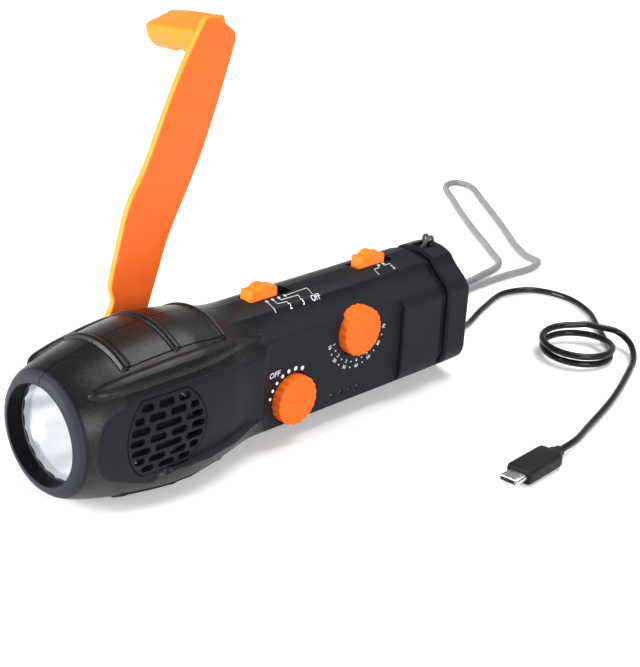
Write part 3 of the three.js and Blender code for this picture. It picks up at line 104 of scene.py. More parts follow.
class Body(Enum):
    """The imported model's moving bodies."""

    HOUSING = "body"
    CRANK = "crank"
    HANDLE = "handle"
    VOLUME = "volume_knob"
    TUNING = "tuning_knob"
    MODE = "mode_slider"
    BAND = "band_slider"


# Meshes


def to_part(points: np.ndarray) -> np.ndarray:
    """Moves axis coordinates into the part's frame, both in millimetres."""
    return np.asarray(points, float) + AXIS_TO_PART


def linked(name: str, data: bpy.types.ID) -> Thing:
    """Makes an object of a mesh, curve, camera or lamp in the scene."""
    obj = bpy.data.objects.new(name, data)
    bpy.context.scene.collection.objects.link(obj)
    return obj


def mesh_object(name: str, points: np.ndarray, faces: Iterable[Sequence[int]]) -> Thing:
    """Makes a mesh object at the origin.

    Args:
        name: The piece's name.
        points: Corner points in the part's frame, in millimetres.
        faces: Corner numbers of each face.

    Returns:
        The linked object.
    """
    mesh = bpy.data.meshes.new(name)
    mesh.from_pydata((np.asarray(points, float) * MM).tolist(), [], [list(f) for f in faces])
    mesh.update()
    return linked(name, mesh)


def axis_points(obj: Thing) -> np.ndarray:
    """A mesh's corner points in axis coordinates."""
    flat = np.empty(len(obj.data.vertices) * 3)
    obj.data.vertices.foreach_get("co", flat)
    return flat.reshape(-1, 3) / MM - AXIS_TO_PART


def mark(obj: Thing, label: str, values: np.ndarray) -> None:
    """Writes one number for each corner of a mesh, which its finish reads by label."""
    layer = obj.data.attributes.new(label, "FLOAT", "POINT")
    layer.data.foreach_set("value", values.astype(np.float32))


def settled(obj: Thing, at: Sequence[float], turn: float = 0.0, axis: str = "Z") -> Thing:
    """Turns a mesh about the frame's origin and then moves it.

    Args:
        obj: The mesh object.
        at: How far it is moved, in millimetres.
        turn: Degrees about the axis.
        axis: X, Y or Z.

    Returns:
        The same object.
    """
    obj.data.transform(Matrix.Rotation(math.radians(turn), 4, axis))
    obj.data.transform(Matrix.Translation(Vector(np.array(at) * MM)))
    return obj


def tidy_normals(obj: Thing, angle: float = 32.0, merge: float = 0.002) -> None:
    """Merges doubles, turns faces outwards, and shades smooth up to an angle.

    Args:
        obj: The mesh object.
        angle: Edges sharper than this many degrees stay crisp.
        merge: Doubles nearer than this many millimetres are merged.
    """
    made = bmesh.new()
    made.from_mesh(obj.data)
    if merge:
        bmesh.ops.remove_doubles(made, verts=made.verts, dist=merge * MM)
    bmesh.ops.recalc_face_normals(made, faces=made.faces)
    limit = math.radians(angle)
    for face in made.faces:
        face.smooth = True
    for edge in made.edges:
        if len(edge.link_faces) == 2:
            edge.smooth = edge.calc_face_angle(0.0) < limit
    made.to_mesh(obj.data)
    made.free()
    obj.data.update()


def evaluated(obj: Thing) -> bpy.types.Mesh:
    """The mesh that an object's modifiers or letters give."""
    bpy.context.view_layer.update()
    graph = bpy.context.evaluated_depsgraph_get()
    return bpy.data.meshes.new_from_object(obj.evaluated_get(graph), depsgraph=graph)


def baked(obj: Thing) -> None:
    """Replaces an object's mesh by its evaluated one and removes its modifiers."""
    fresh, old = evaluated(obj), obj.data
    obj.modifiers.clear()
    obj.data = fresh
    fresh.name = obj.name
    if old.users == 0:
        bpy.data.meshes.remove(old)


def discard(*objects: Thing) -> None:
    """Deletes helper objects."""
    for obj in objects:
        bpy.data.objects.remove(obj, do_unlink=True)


def carve(obj: Thing, helpers: Sequence[Thing], join: Join = Join.CUT) -> None:
    """Cuts helper solids out of a closed mesh, adds them, or keeps only what is inside them.

    Args:
        obj: The closed mesh that is changed.
        helpers: Closed helper meshes, deleted afterwards.
        join: What the helpers do.
    """
    for helper in helpers:
        step = obj.modifiers.new("carve", "BOOLEAN")
        step.operation = join.value
        step.solver = "MANIFOLD"
        step.object = helper
    baked(obj)
    discard(*helpers)


def soften(obj: Thing, width: float, angle: float) -> None:
    """Rounds a mesh's edges that are sharper than an angle.

    Args:
        obj: The mesh object.
        width: How far from an edge the rounding starts, in millimetres.
        angle: The angle in degrees.
    """
    step = obj.modifiers.new("soften", "BEVEL")
    step.width = width * MM
    step.segments = 2
    step.limit_method = "ANGLE"
    step.angle_limit = math.radians(angle)
    step.use_clamp_overlap = True
    baked(obj)


def pushed(name: str, outline: Outline, low: float, high: float, way: Way) -> Thing:
    """Pushes a closed outline along an axis, in axis coordinates.

    Args:
        name: The object's name.
        outline: Points across the way: (y, z) for X, (x, z) for Y and (x, y) for Z.
        low: Start along the way.
        high: End along the way.
        way: The axis that it is pushed along.

    Returns:
        A closed prism.
    """
    order = {Way.X: (0, 1, 2), Way.Y: (1, 0, 2), Way.Z: (1, 2, 0)}[way]
    return lofted(name, [np.array([(place, a, b) for a, b in outline])[:, order]
                         for place in (low, high)])


def turned(name: str, profile: Outline, sides: int, way: Way, at: Spot = (0, 0, 0)) -> Thing:
    """Turns a profile of (place, radius) about an axis, closed at the axis or on itself.

    Args:
        name: The object's name.
        profile: Places along the way with their radius.
        sides: Number of sides round the axis.
        way: X or Y, the axis that it turns about.
        at: A point on the axis, in axis coordinates.

    Returns:
        A closed turned mesh.
    """
    turn = np.linspace(0, 2 * math.pi, sides, endpoint=False)
    rings = []
    for place, radius in profile:
        a, b = radius * np.cos(turn), radius * np.sin(turn)
        along = np.full(sides, float(place))
        rings.append(np.stack([along, a, b] if way is Way.X else [a, along, b], 1) + np.array(at))
    obj = lofted(name, rings, capped=False)
    tidy_normals(obj)
    return obj


def bar(name: str, at: Spot, radius: float, low: float, high: float, way: Way = Way.Y,
        sides: int = 64) -> Thing:
    """A round bar along X or Y.

    Args:
        name: The object's name.
        at: A point on its axis, in axis coordinates.
        radius: Its radius.
        low: Start along the way.
        high: End along the way.
        way: X or Y.
        sides: Number of sides.

    Returns:
        The closed bar.
    """
    return turned(name, [(low, 0), (low, radius), (high, radius), (high, 0)], sides, way, at)


def lofted(name: str, rings: Sequence[np.ndarray], part_frame: bool = False,
           capped: bool = True) -> Thing:
    """A skin over rings of equal count.

    Args:
        name: The object's name.
        rings: Arrays of points, one per station.
        part_frame: True where the points are already in the part's frame.
        capped: True closes both ends, False leaves the skin as the rings make it.

    Returns:
        The mesh object.
    """
    count, last = len(rings[0]), (len(rings) - 1) * len(rings[0])
    points = np.concatenate(rings)
    faces = [[start + k, start + (k + 1) % count, start + (k + 1) % count + count, start + k + count]
             for start in range(0, last, count) for k in range(count)]
    if capped:
        faces += [list(range(count))[::-1], list(range(last, last + count))]
    obj = mesh_object(name, points if part_frame else to_part(points), faces)
    if capped:
        tidy_normals(obj, merge=0.0)
    return obj


def rounded_box(x0: float, x1: float, y0: float, y1: float, radius: float, steps: int = 6) -> Outline:
    """The outline of a rectangle with round corners.

    Args:
        x0: Low end across.
        x1: High end across.
        y0: Low end up.
        y1: High end up.
        radius: Corner radius.
        steps: Pieces of each corner.

    Returns:
        The outline.
    """
    corners = [(x1 - radius, y1 - radius, 0), (x0 + radius, y1 - radius, 1),
               (x0 + radius, y0 + radius, 2), (x1 - radius, y0 + radius, 3)]
    return [(x + radius * math.cos(a), y + radius * math.sin(a)) for x, y, quarter in corners
            for a in ((quarter + s / steps) * math.pi / 2 for s in range(steps + 1))]


def rounded_corners(points: Outline, radius: float, steps: int = 5) -> Outline:
    """Rounds each corner of a closed outline by a short curve.

    Args:
        points: The outline's corners.
        radius: Distance from a corner at which its curve starts, at most.
        steps: Pieces of each curve.

    Returns:
        The rounded outline.
    """
    spots = np.array(points, float)
    out: list[Pair] = []
    for here, previous, following in zip(spots, np.roll(spots, 1, 0), np.roll(spots, -1, 0)):
        before, after = previous - here, following - here
        near = min(radius, 0.45 * np.linalg.norm(before), 0.45 * np.linalg.norm(after))
        a = here + before / np.linalg.norm(before) * near
        b = here + after / np.linalg.norm(after) * near
        for share in np.linspace(0, 1, steps + 1):
            out.append(tuple((1 - share) ** 2 * a + 2 * share * (1 - share) * here + share**2 * b))
    return out


def eased(table: Outline, places: np.ndarray) -> np.ndarray:
    """A smooth line through a table of (place, value) that never overshoots.

    Args:
        table: Points in rising order of place.
        places: Where the line is read.

    Returns:
        The values, held at both ends.
    """
    xs, ys = np.array(table, float).T
    step = np.diff(xs)
    slope = np.diff(ys) / step
    tangent = np.zeros_like(ys)
    both = slope[:-1] * slope[1:] > 0
    tangent[1:-1][both] = 2 / (1 / slope[:-1][both] + 1 / slope[1:][both])
    tangent[0], tangent[-1] = slope[0], slope[-1]
    held = np.clip(places, xs[0], xs[-1])
    i = np.clip(np.searchsorted(xs, held, side="right") - 1, 0, len(step) - 1)
    t = (held - xs[i]) / step[i]
    return ((1 + 2 * t) * (1 - t) ** 2 * ys[i] + t * (1 - t) ** 2 * step[i] * tangent[i]
            + t**2 * (3 - 2 * t) * ys[i + 1] - t**2 * (1 - t) * step[i] * tangent[i + 1])


def rise(places: np.ndarray, start: float, end: float) -> np.ndarray:
    """0 before start, 1 after end, with a smooth step between."""
    share = np.clip((np.asarray(places, float) - start) / (end - start), 0, 1)
    return share * share * (3 - 2 * share)


def polar(centre: Sequence[float], reach: float, degrees: float) -> Pair:
    """The point at a distance and an angle from a centre."""
    turn = math.radians(degrees)
    return centre[0] + reach * math.cos(turn), centre[1] + reach * math.sin(turn)


def spaced(values: Iterable[float], gap: float) -> list[float]:
    """Values in rising order without those nearer than a gap to the one before."""
    kept: list[float] = []
    for value in sorted(values):
        if not kept or value - kept[-1] > gap:
            kept.append(float(value))
    return kept


def finish_piece(obj: Thing, body: Body, material: Material, slot: str, *nodes: str) -> Thing:
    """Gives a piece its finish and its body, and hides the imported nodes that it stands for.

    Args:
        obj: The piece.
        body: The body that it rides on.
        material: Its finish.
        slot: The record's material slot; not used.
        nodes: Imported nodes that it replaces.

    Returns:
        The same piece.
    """
    obj.data.materials.clear()
    obj.data.materials.append(material)
    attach(obj, body.value)
    if nodes:
        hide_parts(*nodes)
    LOG.info("%s: %d faces on %s", obj.name, len(obj.data.polygons), body.value)
    return obj


# Finishes


class Nodes:
    """Adds and joins the nodes of one tree."""

    def __init__(self, tree: Tree) -> None:
        """Starts with the tree that the nodes go into."""
        self.tree = tree

    def set(self, socket: Socket, value: object) -> None:
        """Links a socket to another one, or gives it a plain value.

        Args:
            socket: The input.
            value: A socket, a number, a vector, or a colour without alpha.
        """
        if isinstance(value, Socket):
            self.tree.links.new(value, socket)
        else:
            socket.default_value = (*value, 1.0) if socket.type == "RGBA" else value

    def feed(self, node: Node, **inputs: object) -> Node:
        """Sets inputs of a node.

        Args:
            node: The node.
            **inputs: Values or sockets by input name, with _ for a space.

        Returns:
            The node.
        """
        for key, value in inputs.items():
            name = key.replace("_", " ")
            self.set(next(s for s in node.inputs if s.name == name and s.enabled), value)
        return node

    def add(self, kind: str, settings: dict | None = None, **inputs: object) -> Node:
        """Adds a node.

        Args:
            kind: Its type name.
            settings: Properties such as operation.
            **inputs: Values or sockets by input name, with _ for a space.

        Returns:
            The node.
        """
        node = self.tree.nodes.new(kind)
        for key, value in (settings or {}).items():
            setattr(node, key, value)
        return self.feed(node, **inputs)

    def math(self, operation: str, a: object, b: object = 0.0) -> Socket:
        """A Math node's result.

        Args:
            operation: Its operation.
            a: First number or socket.
            b: Second number or socket.

        Returns:
            The result's socket.
        """
        node = self.add("ShaderNodeMath", {"operation": operation})
        self.set(node.inputs[0], a)
        self.set(node.inputs[1], b)
        return node.outputs[0]

    def mix(self, share: object, a: object, b: object) -> Socket:
        """A colour between two colours.

        Args:
            share: 0 for the first one, 1 for the second one.
            a: First colour or socket.
            b: Second colour or socket.

        Returns:
            The colour's socket.
        """
        node = self.add("ShaderNodeMix", {"data_type": "RGBA"})
        for index, value in ((0, share), (6, a), (7, b)):
            self.set(node.inputs[index], value)
        return node.outputs[2]

    def span(self, value: Socket, low: float, high: float, to_low: float, to_high: float) -> Socket:
        """A value carried from one range to another, held at both ends.

        Args:
            value: The value.
            low: Start of its range.
            high: End of its range.
            to_low: What the start becomes.
            to_high: What the end becomes.

        Returns:
            The new value's socket.
        """
        node = self.add("ShaderNodeMapRange", {"interpolation_type": "SMOOTHSTEP"})
        for socket, number in zip(node.inputs[:5], (value, low, high, to_low, to_high)):
            self.set(socket, number)
        return node.outputs[0]

    def place(self, kind: str = "Object") -> Socket:
        """Texture coordinates of a kind."""
        return self.add("ShaderNodeTexCoord").outputs[kind]

    def noise(self, **inputs: object) -> Socket:
        """A noise texture, over the object's own coordinates where no others are given.

        Args:
            **inputs: Values or sockets by input name, with _ for a space.

        Returns:
            The noise's socket.
        """
        if "Vector" not in inputs:
            inputs["Vector"] = self.place()
        return self.add("ShaderNodeTexNoise", None, **inputs).outputs[0]

    def attribute(self, label: str) -> Socket:
        """The number that a mesh holds under a label."""
        return self.add("ShaderNodeAttribute", {"attribute_name": label}).outputs["Fac"]

    def relief(self, height: Socket, depth: float, strength: float = 1.0) -> Socket:
        """The normal of a relief, its depth in millimetres."""
        return self.add("ShaderNodeBump", None, Strength=strength, Distance=depth * MM,
                        Height=height).outputs[0]

    def effect(self, group: Tree, **inputs: float) -> Node:
        """Places a shared effect with its own values."""
        return self.add("ShaderNodeGroup", {"node_tree": group}, **inputs)


def effect_group(name: str, inputs: dict[str, float], outputs: Sequence[str]
                 ) -> tuple[Nodes, Node, Node]:
    """Starts a shader node group that puts out plain numbers.

    Args:
        name: The group's name.
        inputs: Input names with their default values.
        outputs: Output names.

    Returns:
        Its node helper, its input node and its output node.
    """
    tree = bpy.data.node_groups.new(name, "ShaderNodeTree")
    for label, value in inputs.items():
        socket = tree.interface.new_socket(label, in_out="INPUT", socket_type="NodeSocketFloat")
        socket.default_value = value
    for label in outputs:
        tree.interface.new_socket(label, in_out="OUTPUT", socket_type="NodeSocketFloat")
    kit = Nodes(tree)
    return kit, kit.add("NodeGroupInput"), kit.add("NodeGroupOutput")


class Effects:
    """The effects that several finishes share, each one node group."""

    def __init__(self) -> None:
        """Builds each group once."""
        self.grain = self._grain()
        self.mottle = self._mottle()
        self.wear = self._wear()
        self.weave = self._weave()

    def _grain(self) -> Tree:
        """Eroded mould texture: Height and Speck from Per Metre and Roundness."""
        kit, given, out = effect_group(
            "mould_grain", {"Per Metre": 2200.0, "Roundness": 0.5}, ("Height", "Speck"))
        scale = given.outputs["Per Metre"]
        fine = kit.noise(Scale=scale, Detail=3.0, Roughness=given.outputs["Roundness"])
        coarse = kit.noise(Scale=kit.math("MULTIPLY", scale, 0.31), Detail=1.0, Roughness=0.4)
        both = kit.math("ADD", kit.math("MULTIPLY", fine, 0.8), kit.math("MULTIPLY", coarse, 0.2))
        kit.feed(out, Height=both, Speck=kit.span(both, 0.5, 0.66, 0.0, 1.0))
        return kit.tree

    def _mottle(self) -> Tree:
        """Slow change of tone and gloss over a surface: Tone from Per Metre."""
        kit, given, out = effect_group("soft_mottle", {"Per Metre": 60.0}, ("Tone",))
        slow = kit.noise(Scale=given.outputs["Per Metre"], Detail=4.0, Roughness=0.55)
        kit.feed(out, Tone=kit.span(slow, 0.3, 0.7, 0.0, 1.0))
        return kit.tree

    def _wear(self) -> Tree:
        """Rubbed outer edges: Mask from Start and a broken outline."""
        kit, given, out = effect_group("edge_rub", {"Start": 0.52, "Per Metre": 400.0}, ("Mask",))
        bend = kit.add("ShaderNodeNewGeometry").outputs["Pointiness"]
        ragged = kit.noise(Scale=given.outputs["Per Metre"], Detail=3.0)
        edge = kit.math("SUBTRACT", bend, given.outputs["Start"])
        broken = kit.math("MULTIPLY", edge, kit.math("ADD", ragged, 0.35))
        kit.feed(out, Mask=kit.span(broken, 0.0, 0.05, 0.0, 1.0))
        return kit.tree

    def _weave(self) -> Tree:
        """Crossing yarns on a UV map that runs in yarn widths: Height and Shade."""
        kit, given, out = effect_group("crossed_yarn", {"Softness": 0.3}, ("Height", "Shade"))
        along, around, _ = kit.add("ShaderNodeSeparateXYZ", None, Vector=kit.place("UV")).outputs
        yarns = []
        for operation in ("ADD", "SUBTRACT"):
            turn = kit.math("MULTIPLY", kit.math(operation, along, around), math.pi)
            yarns.append(kit.math("ABSOLUTE", kit.math("SINE", turn)))
        height = kit.math("MAXIMUM", *yarns)
        shade = kit.math("POWER", height, kit.math("ADD", given.outputs["Softness"], 1.0))
        kit.feed(out, Height=height, Shade=shade)
        return kit.tree


def started(name: str, roughness: float, metallic: float = 0.0) -> tuple[Material, Nodes, Node]:
    """Starts a node material.

    Args:
        name: The material's name.
        roughness: The shader's plain roughness.
        metallic: The shader's metallic value.

    Returns:
        The material, its node helper and its shader.
    """
    material = bpy.data.materials.new(name)
    material.use_nodes = True
    kit = Nodes(material.node_tree)
    shader = kit.feed(kit.tree.nodes["Principled BSDF"], Roughness=roughness, Metallic=metallic)
    return material, kit, shader


def toned(colour: Colour, factor: float) -> Colour:
    """A colour made darker or lighter, at most white."""
    return tuple(min(1.0, c * factor) for c in colour)


@dataclass(frozen=True)
class Moulded:
    """A moulded plastic or rubber.

    Args:
        name: The finish's name.
        colour: Linear base colour.
        roughness: Gloss, 0 to 1.
        grain: Grains per metre.
        depth: Grain depth in millimetres.
        tone: Share by which the colour drifts over the surface.
        coat: Weight of a clear outer gloss.
        rub: Lightening on rubbed edges.
        edge: Painted highlight colour of the lit side edges, by the "edge" attribute.
        gloss_level: Strength of the plain reflection.
    """

    name: str
    colour: Colour
    roughness: float = 0.45
    grain: float = 2200.0
    depth: float = 0.02
    tone: float = 0.08
    coat: float = 0.0
    rub: float = 0.0
    edge: Colour | None = None
    gloss_level: float = 0.15

    def build(self, effects: Effects) -> Material:
        """Makes the material."""
        material, kit, shader = started(self.name, self.roughness)
        mottle = kit.effect(effects.mottle, Per_Metre=70.0).outputs["Tone"]
        colour = kit.mix(mottle, toned(self.colour, 1 - self.tone), toned(self.colour, 1 + self.tone))
        if self.edge:
            # Painted highlight: the "edge" attribute lightens the lit side edges.
            colour = kit.mix(kit.attribute("edge"), colour, self.edge)
        if self.rub:
            lighter = tuple(min(1.0, c + self.rub) for c in self.colour)
            colour = kit.mix(kit.effect(effects.wear).outputs["Mask"], colour, lighter)
        grain = kit.effect(effects.grain, Per_Metre=self.grain).outputs["Height"]
        kit.feed(shader, Base_Color=colour, Normal=kit.relief(grain, self.depth),
                 Roughness=kit.span(mottle, 0.0, 1.0, self.roughness - 0.04, self.roughness + 0.05),
                 Coat_Weight=self.coat, Specular_IOR_Level=self.gloss_level)
        return material


@dataclass(frozen=True)
class TwoGrain:
    """The housing's plastic: smooth facets and a grain with painted glints, blended by the "grain"
    attribute.

    The "tone" attribute paints light on the front ring and shade in the bore and the neck groove.
    """

    name: str = "housing_plastic"
    facet: Colour = (0.0115, 0.0118, 0.0172)
    grained: Colour = (0.0026, 0.0026, 0.003)
    speck_share: float = 0.6
    # How many times lighter the grain's specks are painted, as painted glints.
    painted_glint_gain: float = 6.0
    facet_roughness: float = 0.5
    grain_roughness: float = 0.34
    gloss_level: float = 0.11
    grain_coat: float = 0.5
    coat_onset: float = 2.5
    coat_roughness: float = 0.32
    per_metre: float = 2400.0
    depth: float = 0.15
    facet_relief: float = 0.14

    def build(self, effects: Effects) -> Material:
        """Makes the material."""
        material, kit, shader = started(self.name, self.facet_roughness)
        zone, tone = kit.attribute("grain"), kit.attribute("tone")
        mottle = kit.effect(effects.mottle, Per_Metre=45.0).outputs["Tone"]
        grain = kit.effect(effects.grain, Per_Metre=self.per_metre, Roundness=0.6).outputs
        speck = kit.math("MULTIPLY", grain["Speck"], self.speck_share)
        facet = kit.mix(mottle, toned(self.facet, 0.93), toned(self.facet, 1.08))
        # Painted glints: the grain's specks are painted lighter in the base colour.
        grain_with_painted_glints = kit.mix(speck, self.grained, toned(self.grained, self.painted_glint_gain))
        # The "tone" attribute scales the colour: painted light on the front ring, painted shade in the
        # bore and the neck groove.
        brightness = kit.math("ADD", tone, 1.0)
        shaded = kit.add("ShaderNodeVectorMath", {"operation": "SCALE"}, Scale=brightness)
        kit.set(shaded.inputs[0], kit.mix(zone, facet, grain_with_painted_glints))
        sheen = kit.math("MULTIPLY", kit.math("POWER", zone, self.coat_onset),
                         kit.math("ADD", kit.math("MULTIPLY", speck, 0.7), 0.6))
        gloss = kit.span(zone, 0.0, 1.0, self.facet_roughness, self.grain_roughness)
        height = kit.math("MULTIPLY", grain["Height"], kit.span(zone, 0.0, 1.0, self.facet_relief, 1.0))
        kit.feed(shader, Base_Color=shaded.outputs[0], Normal=kit.relief(height, self.depth),
                 Roughness=kit.math("ADD", gloss, kit.math("MULTIPLY", mottle, 0.05)),
                 Coat_Weight=kit.math("MULTIPLY", sheen, self.grain_coat),
                 Coat_Roughness=self.coat_roughness, Specular_IOR_Level=self.gloss_level)
        return material


@dataclass(frozen=True)
class Metal:
    """A bare, plated or lacquered metal with fine drawn lines.

    Args:
        name: The finish's name.
        colour: Linear reflection colour.
        roughness: Gloss, 0 to 1.
        lines: Stretch of the drawn lines along X, Y and Z, per metre.
        depth: Line depth in millimetres.
        metallic: 1 for bare metal, less under a silver lacquer.
    """

    name: str
    colour: Colour
    roughness: float = 0.25
    lines: Spot = (300.0, 4000.0, 4000.0)
    depth: float = 0.004
    metallic: float = 1.0

    def build(self, effects: Effects) -> Material:
        """Makes the material."""
        material, kit, shader = started(self.name, self.roughness, self.metallic)
        stretched = kit.add("ShaderNodeMapping", None, Vector=kit.place(), Scale=self.lines).outputs[0]
        lines = kit.noise(Vector=stretched, Scale=1.0, Detail=4.0)
        mottle = kit.effect(effects.mottle, Per_Metre=120.0).outputs["Tone"]
        kit.feed(shader, Base_Color=kit.mix(mottle, toned(self.colour, 0.88), self.colour),
                 Roughness=kit.span(lines, 0.3, 0.7, self.roughness * 0.8, self.roughness * 1.3),
                 Normal=kit.relief(lines, self.depth, 0.6))
        return material


@dataclass(frozen=True)
class Clear:
    """A polished clear plastic."""

    name: str = "clear_acrylic"
    colour: Colour = (0.97, 0.985, 1.0)
    roughness: float = 0.02
    index: float = 1.45

    def build(self, effects: Effects) -> Material:
        """Makes the material."""
        material, kit, shader = started(self.name, self.roughness)
        mottle = kit.effect(effects.mottle, Per_Metre=200.0).outputs["Tone"]
        kit.feed(shader, Base_Color=kit.mix(mottle, toned(self.colour, 0.99), self.colour),
                 Roughness=kit.span(mottle, 0.0, 1.0, self.roughness, self.roughness * 2),
                 Transmission_Weight=1.0, IOR=self.index)
        return material


@dataclass(frozen=True)
class Yarn:
    """A woven cord: crossing yarns that read the cord's own UV map.

    Args:
        name: The finish's name.
        colour: Linear colour of the yarn's crown.
        gap: Linear colour of the painted shade between yarns.
        depth: Relief in millimetres.
        sheen: Weight of the fibres' sheen.
    """

    name: str
    colour: Colour
    gap: Colour
    depth: float = 0.15
    sheen: float = 0.2

    def build(self, effects: Effects) -> Material:
        """Makes the material."""
        material, kit, shader = started(self.name, 0.7)
        weave = kit.effect(effects.weave, Softness=0.6).outputs
        mottle = kit.effect(effects.mottle, Per_Metre=500.0).outputs["Tone"]
        fibre = kit.mix(mottle, toned(self.colour, 0.85), self.colour)
        # Painted shade: the yarns darken towards the gaps between them.
        kit.feed(shader, Base_Color=kit.mix(weave["Shade"], self.gap, fibre),
                 Roughness=kit.span(mottle, 0.0, 1.0, 0.55, 0.75),
                 Normal=kit.relief(weave["Height"], self.depth, 0.8), Sheen_Weight=self.sheen)
        return material


def all_finishes() -> dict[str, Material]:
    """Builds every finish once.

    Returns:
        The materials, by the record's slot where it has one for them.
    """
    effects = Effects()
    return {key: finish.build(effects) for key, finish in {
        "housing": TwoGrain(),
        "knob": Moulded("knob_orange", (0.98, 0.148, 0.012), 0.42, 2600.0, 0.012, 0.05, rub=0.03),
        # The arm's side edges get a painted highlight colour.
        "orange_plastic": Moulded("arm_orange", (0.98, 0.15, 0.022), 0.34, 2600.0, 0.006, 0.04, 0.04,
                                  edge=(1.0, 0.27, 0.03)),
        "handle_plastic": Moulded("handle_orange", (0.98, 0.22, 0.012), 0.34, 2600.0, 0.006, 0.05, 0.08),
        "slide_cap": Moulded("switch_orange", (0.98, 0.2, 0.012), 0.4, 2600.0, 0.01, 0.05, rub=0.03),
        "clear_plastic": Clear(),
        "mirror_coat": Metal("reflector_coat", (0.95, 0.965, 1.0), 0.18, (60.0, 60.0, 60.0), 0.002, 0.6),
        "black_rubber": Moulded("black_rubber", (0.012, 0.012, 0.013), 0.55, 1800.0, 0.02, 0.12),
        "white_board": Moulded("white_board", (0.72, 0.73, 0.7), 0.35, 900.0, 0.01, 0.04),
        "emitter": Moulded("lamp_phosphor", (0.9, 0.72, 0.22), 0.25, 1500.0, 0.01, 0.05, 0.5),
        "speaker_paper": Moulded("speaker_paper", (0.018, 0.018, 0.018), 0.9, 1500.0, 0.08, 0.2),
        "plated_steel": Metal("plated_steel", (0.62, 0.62, 0.64), 0.28),
        "switch_metal": Metal("tinned_case", (0.5, 0.5, 0.52), 0.38, (900.0, 900.0, 900.0)),
        "green_board": Moulded("green_board", (0.012, 0.13, 0.05), 0.3, 700.0, 0.02, 0.2, 0.4),
        "battery_wrap": Moulded("cell_wrap", (0.015, 0.09, 0.32), 0.25, 500.0, 0.01, 0.05, 0.5),
        "ferrite": Moulded("ferrite", (0.03, 0.03, 0.034), 0.5, 2500.0, 0.03, 0.25),
        "copper_wire": Metal("enamelled_copper", (0.75, 0.27, 0.1), 0.3, (4500.0, 200.0, 200.0), 0.05),
        "gear_nylon": Moulded("gear_nylon", (0.8, 0.79, 0.72), 0.4, 1200.0, 0.01, 0.06),
        "lead_jacket": Moulded("cable_jacket", (0.0075, 0.0075, 0.008), 0.26, 1200.0, 0.006, 0.12, 0.25),
        "plug": Moulded("plug_moulding", (0.01, 0.01, 0.0105), 0.45, 2600.0, 0.03, 0.12),
        "strap_cord_black": Yarn("black_cord", (0.016, 0.016, 0.018), (0.004, 0.004, 0.004), 0.06),
        "slider_grey": Moulded("slider_grey", (0.115, 0.115, 0.12), 0.38, 2200.0, 0.012, 0.06, 0.05,
                               0.08),
        "grey_braid": Yarn("grey_braid", (0.28, 0.285, 0.295), (0.07, 0.072, 0.075), 0.12),
        "print": Moulded("white_print", (0.86, 0.87, 0.88), 0.55, 2000.0, 0.004, 0.03),
    }.items()}


# Housing


